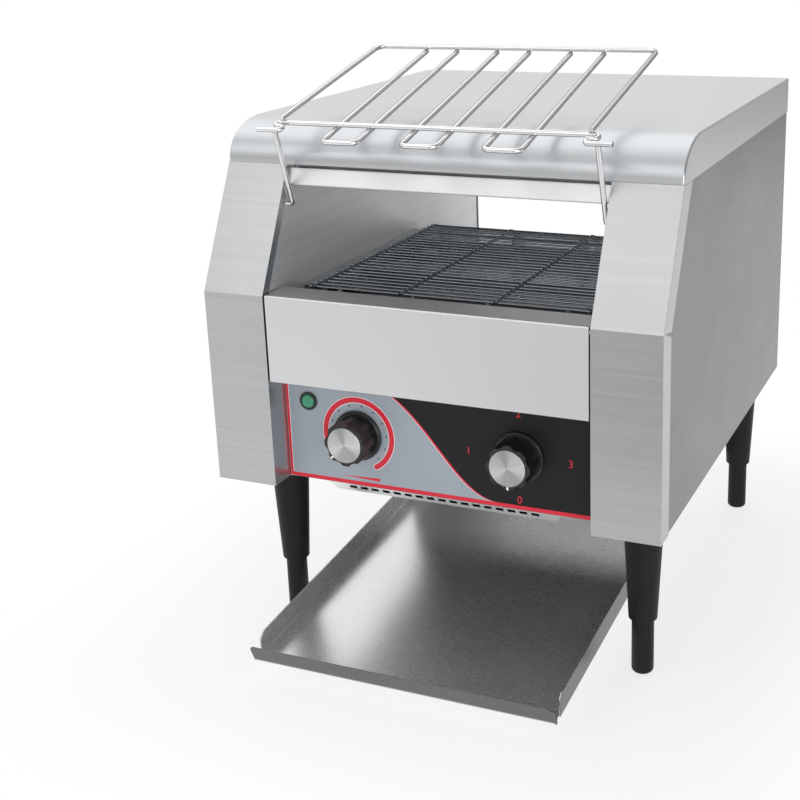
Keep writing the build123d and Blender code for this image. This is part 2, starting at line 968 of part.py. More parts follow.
def knob_cap():
    cap = upright(knob_cap_radius, knob_front - knob_cap_recess, knob_front + knob_cap_crown)
    return chamfer(cap.edges().group_by(Axis.Z)[-1], knob_cap_crown / 2)


parts["speed_controller"] = control_body(
    -control_knob_x, controller_width, controller_height, controller_depth
)
parts["function_switch"] = control_body(control_knob_x, switch_width, switch_height, switch_depth)
for name, x in (("speed", -control_knob_x), ("function", control_knob_x)):
    parts[name + "_spindle"] = spindle(x)
    parts[name + "_knob"] = facing_front(knob(), x)
    parts[name + "_knob_cap"] = facing_front(knob_cap(), x)


# Power lamp: bezel through the panel with a domed lens
def lamp_bezel():
    front = overlay_face - lamp_bezel_thickness
    body = plug(lamp_x, lamp_z, lamp_bezel_radius, front, overlay_face)
    body += plug(lamp_x, lamp_z, lamp_body_radius, overlay_face, overlay_face + lamp_body_length)
    return body - plug(lamp_x, lamp_z, lamp_lens_radius, front - overrun, front + lamp_lens_length)


def lamp_lens():
    front = overlay_face - lamp_bezel_thickness
    body = plug(lamp_x, lamp_z, lamp_lens_radius, front - lamp_lens_crown, front + lamp_lens_length)
    return fillet(body.edges().group_by(Axis.Y)[0], lamp_lens_crown)


parts["lamp_bezel"] = lamp_bezel()
parts["lamp_lens"] = lamp_lens()


# Terminal block on the floor of the control box
def terminal_block():
    top = floor_top + terminal_height
    solid = block(
        -terminal_length / 2,
        terminal_length / 2,
        terminal_y - terminal_width / 2,
        terminal_y + terminal_width / 2,
        floor_top,
        top,
    )
    for n in range(terminal_poles):
        x = ((n + 1 / 2) / terminal_poles - 1 / 2) * terminal_length
        solid -= post(x, terminal_y, terminal_pole_radius, top - terminal_pole_depth, top + overrun)
    return solid


parts["terminal_block"] = terminal_block()


# Cord gland in the back panel: nut inside, hexagon and nose outside, a wide throat and then the cord's bore
def cord_gland():
    def hexagon(y_low, y_high):
        face = Plane(origin=(gland_x, y_high, gland_z), x_dir=(1, 0, 0), z_dir=(0, -1, 0))
        return extrude(face * RegularPolygon(gland_hex_radius, 6), amount=y_high - y_low)

    nose_end = body_depth + gland_hex_length + gland_nose_length
    inside_end = back_inside - gland_nut_length
    body = hexagon(body_depth, body_depth + gland_hex_length)
    body += hexagon(inside_end, back_inside)
    body += plug(gland_x, gland_z, gland_thread_radius, inside_end, body_depth)
    body += plug(gland_x, gland_z, gland_nose_radius, body_depth, nose_end)
    body -= plug(gland_x, gland_z, gland_throat_radius, inside_end - overrun, body_depth + gland_throat_lead)
    return body - plug(gland_x, gland_z, gland_bore_radius, body_depth, nose_end + overrun)


parts["cord_gland"] = cord_gland()


# Legs with studs through the floor, nuts inside, and levelling feet that turn in the legs
def leg(x, y):
    middle = Pos(x, y, (leg_low + floor_height) / 2)
    body = middle * Cone(leg_low_radius, leg_top_radius, floor_height - leg_low)
    body += post(x, y, leg_stud_radius, floor_height, floor_top + leg_stud_length)
    return body - post(x, y, foot_stem_radius + running_fit, leg_low - overrun, leg_low + foot_stem_length)


def foot(x, y):
    body = post(x, y, foot_radius, 0, leg_low - touch_gap)
    body = fillet(body.edges().group_by(Axis.Z)[0], foot_round)
    return body + post(x, y, foot_stem_radius, leg_low - touch_gap, leg_low + foot_stem_length - touch_gap)


def leg_nut(x, y):
    plane = Plane(origin=(x, y, floor_top))
    face = RegularPolygon(leg_nut_radius, 6) - Circle(leg_stud_radius)
    return extrude(plane * face, amount=leg_nut_length)


corner_names = ("front_left", "front_right", "rear_left", "rear_right")
for name, (x, y) in zip(corner_names, leg_places):
    parts[name + "_leg"] = leg(x, y)
    parts[name + "_foot"] = foot(x, y)
parts["leg_nuts"] = group([leg_nut(x, y) for x, y in leg_places])


# Collecting tray, made level with its front edge on the origin and then set on its slope
tray_half = inner_half - tray_inset
tray_place = Pos(0, tray_front_y, tray_front_z) * Rot(tray_slope, 0, 0)


def collecting_tray():
    floor = block(-tray_half, tray_half, 0, tray_length, 0, sheet)
    corner = (tray_wall_start, tray_wall)
    wall = side_plate(
        [(tray_wall_start, 0), corner, (tray_length, tray_wall), (tray_length, 0)], tray_half - sheet, sheet
    )
    front_edge = wall.edges().filter_by(Axis.X).sort_by_distance((tray_half, *corner))[0]
    wall = fillet(front_edge, tray_wall_round)
    lip_face = Pos(0, tray_lip / 2) * Rectangle(2 * tray_half, tray_lip)
    lip_face = fillet(lip_face.vertices().group_by(Axis.Y)[-1], tray_lip_round)
    lip = Rot(tray_lip_lean, 0, 0) * extrude(Plane.XZ * lip_face, amount=-sheet)
    return tray_place * (floor + wall + left_of(wall) + lip)


parts["collecting_tray"] = collecting_tray()


# Runners under the floor that hold the tray's rear half above and below
def tray_runner():
    inside = tray_half + tray_side_gap
    outside = inside + sheet
    slope = tan(radians(tray_slope))
    drop = touch_gap + sheet
    runner_rear = body_depth - runner_rear_gap

    def tray_z(y):
        return tray_front_z + (y - tray_front_y) * slope

    def lip(lift, x_low):
        low_front, low_rear = tray_z(runner_front) + lift, tray_z(runner_rear) + lift
        return side_plate(
            [
                (runner_front, low_front),
                (runner_rear, low_rear),
                (runner_rear, low_rear + sheet),
                (runner_front, low_front + sheet),
            ],
            x_low,
            outside - x_low,
        )

    web = side_plate(
        [
            (runner_front, tray_z(runner_front) - drop),
            (runner_rear, tray_z(runner_rear) - drop),
            (runner_rear, floor_height),
            (runner_front, floor_height),
        ],
        inside,
        sheet,
    )
    flange_end = outside + runner_flange
    flange = block(inside, flange_end, runner_front, runner_rear, floor_height - sheet, floor_height)
    wall_top = tray_wall / cos(radians(tray_slope)) + touch_gap
    return web + flange + lip(-drop, inside - runner_lip) + lip(wall_top, inside - runner_lip)


right_runner = tray_runner()
parts["tray_runners"] = group([right_runner, left_of(right_runner)])


# Feed rack: legs with pins in the walls, front bar with hooked ends, and the frame behind it
rack_leg_x = inner_half - rack_leg_gap
rack_side_x = rack_leg_x - rack_side_inset
rack_hook_out = rack_leg_x - rack_hook_set
rack_hook_in = rack_hook_out - rack_hook_length
rack_stub_x = rack_leg_x + rack_stub_reach
rack_bar_y = rack_pivot_y - rack_bar_reach
rack_bar_z = cover_height + rack_bar_rise


def rack_point(x, along, above):
    """Place on the rack: along its slope from the front bar, and above it, square to the slope."""
    lean = radians(rack_slope)
    y = rack_bar_y + along * cos(lean) - above * sin(lean)
    z = rack_bar_z + along * sin(lean) + above * cos(lean)
    return x, y, z


def hook_point(x, step):
    """Place on the hooked end of the front bar, a number of wire pitches forward and down."""
    fall = radians(rack_hook_fall)
    reach = step * rack_hook_pitch
    return x, rack_bar_y - reach * cos(fall), rack_bar_z - reach * sin(fall)


wire_lap = 2 * rack_wire_radius - rack_weld


def rack_frame():
    bend = rack_hook_bend_share * rack_hook_pitch
    hook = [
        (rack_stub_x, 2),
        (rack_hook_in, 2),
        (rack_hook_in, 1),
        (rack_hook_out, 1),
        (rack_hook_out, 0),
    ]
    bar_points = [hook_point(x, step) for x, step in hook]
    bar_points += [hook_point(-x, step) for x, step in reversed(hook)]
    bar = bent_wire(bar_points, bend, rack_wire_radius)
    bow_points = [
        rack_point(rack_side_x, -rack_wire_radius, wire_lap),
        rack_point(rack_side_x, rack_length, wire_lap),
        rack_point(-rack_side_x, rack_length, wire_lap),
        rack_point(-rack_side_x, -rack_wire_radius, wire_lap),
    ]
    bow = bent_wire(bow_points, rack_corner, rack_wire_radius)
    stub = hook_point(rack_leg_x, 2)
    pin_x = wall_outside + rack_pin_length
    leg_points = [
        (pin_x, rack_pivot_y, rack_pivot_z),
        (rack_leg_x, rack_pivot_y, rack_pivot_z),
        (rack_leg_x, stub[1] + wire_lap, stub[2] + rack_wire_radius / 2),
    ]
    right_leg = bent_wire(leg_points, rack_leg_bend, rack_wire_radius)
    return bar.fuse(bow, right_leg, left_of(right_leg))


def hairpin(centre):
    """Long narrow loop of wire from under the rear bar to under the front bar and on past it."""
    low, high = centre - hairpin_half_gap, centre + hairpin_half_gap
    front_drop = -wire_lap * (1 + hairpin_lead / rack_length)
    points = [
        rack_point(low, rack_length, 0),
        rack_point(low, -hairpin_lead, front_drop),
        rack_point(high, -hairpin_lead, front_drop),
        rack_point(high, rack_length, 0),
    ]
    return bent_wire(points, hairpin_bend, rack_wire_radius)


parts["rack_frame"] = rack_frame()
hairpin_places = [(n - (hairpin_count - 1) / 2) * hairpin_pitch for n in range(hairpin_count)]
parts["rack_hairpins"] = group([hairpin(x) for x in hairpin_places])


# Screws that hold the back panel to the side panels' rear flanges
def back_screw(x, z):
    head = plug(x, z, screw_head_radius, body_depth, body_depth + screw_head_height)
    head = fillet(head.edges().group_by(Axis.Y)[-1], screw_head_height / 2)
    return head + plug(x, z, screw_shank_radius, body_depth - screw_shank_length, body_depth)


screw_places = [(side * screw_x, z) for side in (-1, 1) for z in screw_heights]
parts["back_screws"] = group([back_screw(x, z) for x, z in screw_places])


# The plan of the whole toaster is centred on the origin, with the feet on the ground
whole = group(parts.values())
box = whole.bounding_box()
plan_shift = Pos(-(box.min.X + box.max.X) / 2, -(box.min.Y + box.max.Y) / 2, 0)
os.makedirs("parts", exist_ok=True)
for name, solid in parts.items():
    export_step(plan_shift * solid, os.path.join("parts", name + ".step"))
print("pieces", len(parts), "size", box.size, "front face at y", plan_shift.position.Y)
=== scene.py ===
import json
from math import cos, pi, radians, sin

import bmesh
import bpy
from mathutils import Matrix, Vector


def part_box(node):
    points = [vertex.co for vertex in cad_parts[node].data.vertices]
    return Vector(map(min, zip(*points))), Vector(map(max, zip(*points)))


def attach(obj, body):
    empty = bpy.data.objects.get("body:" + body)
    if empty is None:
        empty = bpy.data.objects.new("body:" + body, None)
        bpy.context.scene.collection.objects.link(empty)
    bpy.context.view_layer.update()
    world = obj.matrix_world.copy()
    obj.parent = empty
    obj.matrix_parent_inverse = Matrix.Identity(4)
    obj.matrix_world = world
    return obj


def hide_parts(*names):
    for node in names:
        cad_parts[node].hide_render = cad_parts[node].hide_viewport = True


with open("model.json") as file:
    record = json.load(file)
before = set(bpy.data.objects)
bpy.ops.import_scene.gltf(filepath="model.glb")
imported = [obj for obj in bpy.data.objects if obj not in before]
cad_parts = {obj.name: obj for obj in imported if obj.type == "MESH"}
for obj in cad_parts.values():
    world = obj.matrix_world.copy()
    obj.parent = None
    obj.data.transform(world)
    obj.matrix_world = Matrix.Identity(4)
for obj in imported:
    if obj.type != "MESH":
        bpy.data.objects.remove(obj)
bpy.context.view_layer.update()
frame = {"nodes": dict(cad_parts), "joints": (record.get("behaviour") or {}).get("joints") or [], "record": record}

MM = 0.001

# Sheet metal
SHEET = 1.0 * MM
FOLD = 1.6 * MM
NOTCH_ROOT = 3.2 * MM
NOTCH_BELOW = 6.3 * MM
NOTCH_ABOVE = 3.1 * MM
BROKEN_EDGE = 0.22 * MM
WELD_DISTANCE = 0.01 * MM
SHARP_ANGLE = radians(20)
SMOOTH_ANGLE = radians(32)
FLAT_ANGLE = radians(0.5)
SAME_PLACE = SHEET / 5
RIM_SHARE = 1.4
OUTER_FOLD_STEPS = 4
INNER_FOLD_STEPS = 3
SKIN_FOLD_STEPS = 5
EDGE_STEPS = 2

# Depth of the finishes' relief
BRUSHED_DEPTH = 0.03 * MM
PIT_DEPTH = 0.008 * MM
SATIN_DEPTH = 0.003 * MM
DIE_LINE_DEPTH = 0.01 * MM
CAST_DEPTH = 0.02 * MM
TOOTH_DEPTH = 0.03 * MM
KNOB_TOOTH_DEPTH = 0.015 * MM
SCREEN_DEPTH = 0.006 * MM
SPUN_PITCH = 0.35 * MM
SPUN_DEPTH = 0.01 * MM
LENS_RIB_DEPTH = 0.05 * MM

# Where the sheets with painted shade turn from dark to bright, measured from the middle plane
BASE_PAINTED_SHADE = (122 * MM, 134 * MM)
VENT_PAINTED_SHADE = (147 * MM, 152 * MM)

# Conveyor belt
BELT_WIRE = 1.0 * MM
BELT_RODS = 64
ROD_SIDES = 10
LINK_WIRE = 0.7 * MM
LINK_LOOP = 1.6 * MM
LINK_SIDES = 6
LINK_STEPS = 12
BELT_STRAND_SHARES = (-0.97, -0.33, 0.33, 0.97)

# Collecting tray
TRAY_FOLD = 2.0 * MM
TRAY_SLOPE = radians(4.6)
TRAY_WALL = 19.0 * MM
TRAY_WALL_CORNER = 8.0 * MM
TRAY_CORNER_RELIEF = 8.8 * MM
TRAY_LIP = 18.5 * MM
TRAY_LIP_LEAN = radians(20)
TRAY_LIP_CORNER = 4.0 * MM
TRAY_CORNER_STEPS = 6
# Depths where the tray's painted shade darkens the outer walls and the lip
TRAY_PAINTED_SHADE_SKIN = (0.7 * SHEET, 0.3 * SHEET)
TRAY_PAINTED_SHADE_LIP = (7.0 * MM, 6.0 * MM)

# Crumb sheet
CRUMB_GAP = 0.3 * MM
CRUMB_REAR = 12.0 * MM
CRUMB_HEM = 7.0 * MM

# Printed control panel
INK = 0.03 * MM
BORDER = 2.2 * MM
HAIRLINE = 0.5 * MM
BASE_LINE = 3.1 * MM
SWEEP_EDGE = 1.9 * MM
SWEEP_TOP = -57.0 * MM
SWEEP_TOP_HANDLE = -10.0 * MM
SWEEP_TOP_FALL = 8.0 * MM
SWEEP_FOOT = 50.0 * MM
SWEEP_FOOT_HANDLE = 13.0 * MM
CURVE_STEPS = 24
SCALE_RADIUS = 29.0 * MM
SCALE_WIDTH = 4.3 * MM
SCALE_OUTLINE = 0.5 * MM
SCALE_START = radians(196)
SCALE_SWEEP = radians(256)
SCALE_STEPS = 48
SCALE_END_STEPS = 10
SCALE_DOTS = 10
DOT_RADIUS = 0.7 * MM
DOT_CIRCLE = 24.4 * MM
DOT_SIDES = 16
WEDGE_RISE = 3.4 * MM
WEDGE_LENGTH = 34.0 * MM
WEDGE_HEIGHT = 2.6 * MM
DIGIT_HEIGHT = 6.0 * MM
DIGIT_SHARE = 0.72
DIGIT_SIDE = 41.0 * MM
DIGIT_ABOVE = 34.5 * MM

# Knobs
POINTER_WIDTH = 1.5 * MM
POINTER_STAND = 0.2 * MM
POINTER_DROP = 6.0 * MM
POINTER_EDGE = 0.08 * MM
TURNED_STEPS = 64
CAP_TONE = 0.62
CAP_RIM = 0.25 * MM
CAP_BORDER = 0.9 * MM
CAP_GROOVES = 9
CAP_GROOVE_SHARE = 0.3
CAP_GROOVE_DEPTH = 0.05 * MM
CAP_DISH = 0.35 * MM
SPEED_REST = radians(225)
FUNCTION_REST = radians(270)

# Rear screws
CROSS_DEPTH = 0.05 * MM

# Studio, in metres and watts
FLOOR_RADIUS = 2.6
FLOOR_SIDES = 96
SHADOW_START = 0.02
SHADOW_REACH = 0.2
SHADOW_PALE = 0.72
PAPER_END = (0.3, -1.15, 0)
PAPER_FADE = (0.35, 0.84)
PAPER_SHADE = 0.45
SURROUND_WAY = (-1, 0.15, 0.35)
SURROUND_SIDES = ((0.0, 0.4), (0.44, 0.48), (0.58, 1.0))
SURROUND_DEPTH = ((0.0, 0.62), (0.15, 0.66), (0.55, 1.0))
SOFTBOX_AIM = Vector((0, 0, 0.25))
SOFTBOXES = {
    "front_softbox": {"place": (-0.5, -1.25, 1.25), "width": 1.3, "height": 0.9, "watts": 3.2},
    "top_softbox": {"place": (-0.65, 0.6, 1.8), "width": 2.0, "height": 1.4, "watts": 5.0},
    "right_softbox": {"place": (0.9, -1.5, 0.45), "width": 1.4, "height": 0.9, "watts": 14.0},
}

# Camera, fitted to the photograph
LENS = 60.92
SENSOR = 36.0
CAMERA_PLACE = (0.4178, -1.03055, 0.5696)
CAMERA_YAW = radians(23.076)
CAMERA_PITCH = radians(16.274)
CAMERA_ROLL = radians(-1.392)
CAMERA_SHIFT = -0.1125
CLIP_START = 0.05


def ink(red, green, blue):
    """A display colour, 0 to 255 a channel, as the linear colour that a shader takes."""
    def linear(value):
        share = value / 255
        return share / 12.92 if share <= 0.04045 else ((share + 0.055) / 1.055) ** 2.4

    return (linear(red), linear(green), linear(blue), 1.0)


def grey(share, blue=1.0):
    """A linear grey, with its blue channel a little above or below the rest."""
    return (share, share * (1 + blue) / 2, share * blue, 1.0)


def both_sides(colour, spread):
    """A colour made darker and lighter by a share of itself."""
    return [tuple(channel * (1 + way * spread) for channel in colour[:3]) + (1.0,) for way in (-1, 1)]


class Pattern:
    """A value that changes over a surface: a node's output, whose operators add Math nodes."""

    def __init__(self, finish, socket):
        self.finish = finish
        self.socket = socket

    def math(self, operation, first, second):
        return self.finish.node("ShaderNodeMath", {"operation": operation}, {0: first, 1: second})

    def __add__(self, other):
        return self.math("ADD", self, other)

    def __radd__(self, other):
        return self.math("ADD", other, self)

    def __sub__(self, other):
        return self.math("SUBTRACT", self, other)

    def __rsub__(self, other):
        return self.math("SUBTRACT", other, self)

    def __mul__(self, other):
        return self.math("MULTIPLY", self, other)

    def __rmul__(self, other):
        return self.math("MULTIPLY", other, self)


class Finish:
    """A node tree that ends in a shader, on a material or on the world."""

    def __init__(self, owner, shader="Principled BSDF"):
        owner.use_nodes = True
        self.owner = owner
        self.tree = owner.node_tree
        self.shader = self.tree.nodes[shader]

    def node(self, kind, settings=None, sockets=None, output=0):
        """Adds a node, sets it up, then gives its sockets their values or links."""
        made = self.tree.nodes.new(kind)
        for name, value in (settings or {}).items():
            if name == "stops":
                self.fill_ramp(made.color_ramp, value)
            else:
                setattr(made, name, value)
        for name, value in (sockets or {}).items():
            self.give(made.inputs[name], value)
        return Pattern(self, made.outputs[output])

    def give(self, socket, value):
        if isinstance(value, Pattern):
            self.tree.links.new(value.socket, socket)
        else:
            socket.default_value = value

    def fill_ramp(self, ramp, stops):
        while len(ramp.elements) < len(stops):
            ramp.elements.new(0.5)
        for element, (position, colour) in zip(ramp.elements, stops):
            element.position = position
            element.color = colour

    def shade(self, **sockets):
        """Sets the shader's sockets: base_color for Base Color, and so on."""
        for name, value in sockets.items():
            self.give(self.shader.inputs[name.replace("_", " ").title().replace("Ior", "IOR")], value)
        return self

    def place(self):
        return self.node("ShaderNodeTexCoord", output="Object")

    def stretched(self, scale, turn=(0, 0, 0), move=(0, 0, 0)):
        sockets = {"Vector": self.place(), "Location": move, "Rotation": turn, "Scale": scale}
        return self.node("ShaderNodeMapping", {}, sockets)

    def noise(self, scale, detail=2.0, roughness=0.5, **mapping):
        """Noise whose grain is 1 / scale metres long, on every axis or on each of three."""
        scales = scale if isinstance(scale, tuple) else (scale,) * 3
        sockets = {"Vector": self.stretched(scales, **mapping), "Scale": 1.0, "Detail": detail,
                   "Roughness": roughness}
        return self.node("ShaderNodeTexNoise", {}, sockets)

    def grey_ramp(self, value, stops):
        shades = [(position, grey(share)) for position, share in stops]
        return self.node("ShaderNodeValToRGB", {"stops": shades}, {"Fac": value})

    def smooth_step(self, value, start, end):
        return self.node("ShaderNodeMapRange", {"interpolation_type": "SMOOTHSTEP"},
                         {"Value": value, "From Min": start, "From Max": end})

    def mix(self, factor, first, second):
        return self.node("ShaderNodeMix", {"data_type": "RGBA"}, {0: factor, 6: first, 7: second}, 2)

    def bump(self, height, distance):
        return self.node("ShaderNodeBump", {}, {"Strength": 1.0, "Distance": distance, "Height": height})


def material(name):
    return Finish(bpy.data.materials.new(name))


# Finishes


def beyond(finish, axis, start, end):
    """0 to 1 where a surface's distance from the middle plane across an axis passes from start to end."""
    along = finish.node("ShaderNodeSeparateXYZ", {}, {0: finish.place()}, axis)
    return finish.smooth_step(along.math("ABSOLUTE", along, 0.0), start, end)


def brushed_steel(name, tone, rough, streak, grain=(9, 9, 1500)):
    """Stainless sheet with a brushed grain: long fine streaks, clouded by handling."""
    finish = material(name)
    fine = finish.noise(grain, 3.0, 0.65)
    broad = finish.noise(tuple(axis / 5 for axis in grain), 2.0, 0.5, move=(3.1, 1.7, 0.4))
    cloud = finish.noise(14, 3.0, 0.6)
    lines = fine * 0.65 + broad * 0.35
    finish.shade(base_color=finish.mix(lines, *both_sides(grey(tone, 1.02), streak)), metallic=1.0,
                 roughness=rough + (fine - 0.5) * 0.16 + (cloud - 0.5) * 0.1,
                 normal=finish.bump(lines, BRUSHED_DEPTH))
    return finish


def rolled_steel(name, tone, rough, mottle=0.03, blue=1.02):
    """Smooth rolled sheet: almost no grain, with faint clouds and fine pits."""
    finish = material(name)
    cloud = finish.noise(9, 4.0, 0.6)
    pits = finish.noise(900, 2.0, 0.5)
    finish.shade(base_color=finish.mix(cloud, *both_sides(grey(tone, blue), mottle)), metallic=1.0,
                 roughness=rough + (cloud - 0.5) * 0.09 + (pits - 0.5) * 0.05,
                 normal=finish.bump(pits, PIT_DEPTH))
    return finish


def stained_steel(name, axis, dull, bright):
    """Bright sheet with painted shade: darker and rougher towards the middle of the toaster along one axis."""
    finish = material(name)
    cloud = finish.noise(30, 4.0, 0.6)
    unshaded = beyond(finish, axis, dull, bright)
    # The dark grey over the middle is painted shade.
    finish.shade(base_color=finish.mix(unshaded, grey(0.16), grey(0.96, 1.02)), metallic=1.0,
                 roughness=0.5 - unshaded * 0.28 + (cloud - 0.5) * 0.08)
    return finish


def tray_steel():
    """Satin tray sheet: bright inside, with painted shade that darkens the lip and the outer walls."""
    finish = material("tray_steel")
    low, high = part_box("collecting_tray")
    grain = finish.noise((150, 2400, 150), 3.0, 0.65)
    cloud = finish.noise(14, 3.0, 0.6)
    wall = beyond(finish, "X", *(high.x - depth for depth in TRAY_PAINTED_SHADE_SKIN))
    lip = beyond(finish, "Y", *(-low.y - depth for depth in TRAY_PAINTED_SHADE_LIP))
    inside = finish.mix(grain, grey(0.92), grey(0.98))
    # The dark grey on the lip and outer walls is painted shade.
    finish.shade(base_color=finish.mix(wall.math("MAXIMUM", wall, lip), inside, grey(0.14)), metallic=0.9,
                 roughness=0.27 + (grain - 0.5) * 0.04 + (cloud - 0.5) * 0.05,
                 normal=finish.bump(grain, SATIN_DEPTH))
    return finish


def drawn_wire(name, tone, rough, blue=1.0, edge=1.0):
    """Plated or drawn wire: bright, with fine die lines and small dull patches."""
    finish = material(name)
    patch = finish.noise(120, 3.0, 0.6)
    scratch = finish.noise(700, 2.0, 0.5)
    dark = grey(tone * 0.86, blue)
    light = grey(tone * 1.06, blue)
    finish.shade(base_color=finish.mix(patch, dark, light), metallic=1.0, specular_tint=grey(edge),
                 roughness=rough + (patch - 0.5) * 0.12 + (scratch - 0.5) * 0.06,
                 normal=finish.bump(scratch, DIE_LINE_DEPTH))
    return finish


def tinted_metal(name, dark, light, rough, scale=60, metallic=1.0):
    """Cast, oxidised or painted metal that runs between two colours."""
    finish = material(name)
    stain = finish.noise(scale, 5.0, 0.6)
    tooth = finish.noise(1100, 2.0, 0.5)
    finish.shade(base_color=finish.mix(stain, dark, light), metallic=metallic,
                 roughness=rough + (stain - 0.5) * 0.2,
                 normal=finish.bump(tooth, CAST_DEPTH))
    return finish


def moulded_plastic(name, colour, rough, tooth_scale=1400, tooth_depth=TOOTH_DEPTH, gloss=0.5):
    """Moulded plastic: an even colour with a fine spark-eroded tooth and rubbed patches."""
    finish = material(name)
    rub = finish.noise(45, 4.0, 0.6)
    tooth = finish.noise(tooth_scale, 2.0, 0.5)
    finish.shade(base_color=finish.mix(rub, *both_sides(colour, 0.12)), specular_ior_level=gloss,
                 roughness=rough + (rub - 0.5) * 0.14,
                 normal=finish.bump(tooth, tooth_depth))
    return finish


def printed_film(name, colour, rough, metallic=0.0):
    """Ink on a plastic film: flat colour with a faint screen-print texture."""
    finish = material(name)
    weave = finish.noise(2200, 1.0, 0.5)
    wash = finish.noise(16, 3.0, 0.5)
    finish.shade(base_color=finish.mix(wash, *both_sides(colour, 0.04)), metallic=metallic,
                 specular_ior_level=0.3, roughness=rough + (weave - 0.5) * 0.08,
                 normal=finish.bump(weave, SCREEN_DEPTH))
    return finish


def spun_metal(name, tone, centre):
    """Aluminium disc faced on a lathe: rings round its centre, and a painted sheen of light and dark sectors in
    its colour.
    """
    finish = material(name)
    spot = finish.stretched((1, 1, 1), move=tuple(-axis for axis in centre))
    parts = finish.node("ShaderNodeSeparateXYZ", {}, {0: spot})
    across = Pattern(finish, parts.socket.node.outputs["X"])
    up = Pattern(finish, parts.socket.node.outputs["Z"])
    angle = across.math("ARCTAN2", up, across)
    radius = finish.node("ShaderNodeVectorMath", {"operation": "LENGTH"}, {0: spot}, "Value")
    rings = radius.math("SINE", radius * (2 * pi / SPUN_PITCH), 0.0)
    # Painted sheen: light and dark sectors round the centre.
    sheen_fan = angle.math("SINE", angle * 2.0 + 0.9, 0.0)
    turn = angle.math("SINE", angle * 5.0 + 2.0, 0.0)
    share = 0.5 + sheen_fan * 0.32 + turn * 0.1 + rings * 0.06
    finish.shade(base_color=finish.mix(share, grey(tone * 0.5), grey(tone * 1.1)), metallic=1.0,
                 roughness=0.3 + rings * 0.04, normal=finish.bump(rings, SPUN_DEPTH))
    return finish


def lamp_lens():
    """Green indicator lens, ribbed inside, unlit."""
    finish = material("lamp_lens_green")
    ribs = finish.node("ShaderNodeTexVoronoi", {"feature": "F1"},
                       {"Vector": finish.stretched((900, 900, 900)), "Scale": 1.0})
    finish.shade(base_color=finish.mix(ribs, ink(8, 92, 62), ink(34, 158, 112)), roughness=0.16,
                 coat_weight=0.6, normal=finish.bump(ribs, LENS_RIB_DEPTH))
    return finish


COLUMN_STEEL = brushed_steel("brushed_column_steel", 0.5, 0.33, 0.2)
# The side panels' steel is a darker copy of the brushed steel: painted shade.
SIDE_STEEL_PAINTED_SHADE = brushed_steel("brushed_side_steel_painted_shade", 0.22, 0.36, 0.1)
# The inner walls' steel is a lighter copy of the brushed steel: painted light.
WALL_STEEL_PAINTED_LIGHT = brushed_steel("brushed_wall_steel_painted_light", 0.88, 0.6, 0.2, (9, 9, 700))
COVER_STEEL = rolled_steel("cover_steel", 0.56, 0.36, 0.03, 1.05)
FRONT_STEEL = rolled_steel("front_panel_steel", 0.7, 0.4, 0.015)
PLAIN_STEEL = rolled_steel("plain_sheet_steel", 0.56, 0.36, 0.05)
BRIGHT_STEEL = rolled_steel("bright_sheet_steel", 0.9, 0.4, 0.015)
# Base frame and vent pan: painted shade darkens their middles.
BASE_STEEL_PAINTED_SHADE = stained_steel("base_sheet_steel_painted_shade", "X", *BASE_PAINTED_SHADE)
VENT_STEEL_PAINTED_SHADE = stained_steel("vent_pan_steel_painted_shade", "Y", *VENT_PAINTED_SHADE)
TRAY_STEEL_WITH_PAINTED_SHADE = tray_steel()
# The chute's near-black tone is painted shade for the machine's dark inside.
CHUTE_PAINTED_SHADE = tinted_metal("chute_painted_shade", ink(44, 42, 41), ink(64, 61, 59), 0.6, 40, 0.7)
CHROME = drawn_wire("chromed_rack_wire", 0.8, 0.12, 1.02, 0.3)
BELT_STEEL = drawn_wire("belt_wire_steel", 0.29, 0.3, 1.2, 0.5)
SHAFT_STEEL = drawn_wire("turned_shaft_steel", 0.5, 0.3)
BRONZE = tinted_metal("bush_bronze", ink(120, 84, 44), ink(172, 130, 74), 0.42)
SHEATH = tinted_metal("heater_sheath_oxide", ink(58, 52, 50), ink(104, 98, 96), 0.5)
CERAMIC = tinted_metal("ceramic_bead", ink(206, 200, 186), ink(232, 228, 218), 0.55, 90, 0.0)
MOTOR_PAINT = tinted_metal("motor_case_paint", ink(112, 116, 120), ink(140, 143, 146), 0.5, 40, 0.3)
BLACK_PLASTIC = moulded_plastic("black_plastic", ink(30, 30, 32), 0.46)
LEG_PLASTIC = moulded_plastic("leg_plastic", ink(14, 14, 16), 0.5, 1000, gloss=0.25)
KNOB_PLASTIC = moulded_plastic("knob_plastic", ink(20, 20, 22), 0.34, 1800, KNOB_TOOTH_DEPTH)
LAMP = lamp_lens()
FILM = printed_film("silver_panel_film", ink(154, 162, 171), 0.42, 0.2)
BLACK_INK = printed_film("black_panel_ink", ink(17, 17, 19), 0.5)
RED_INK = printed_film("red_panel_ink", ink(206, 40, 58), 0.42)
PALE_INK = printed_film("pale_panel_ink", ink(226, 222, 224), 0.42)
WHITE_PAINT = printed_film("white_pointer_paint", ink(236, 236, 234), 0.45)
RECESS_PAINTED_SHADE = moulded_plastic("screw_recess_painted_shade", ink(24, 24, 26), 0.6)

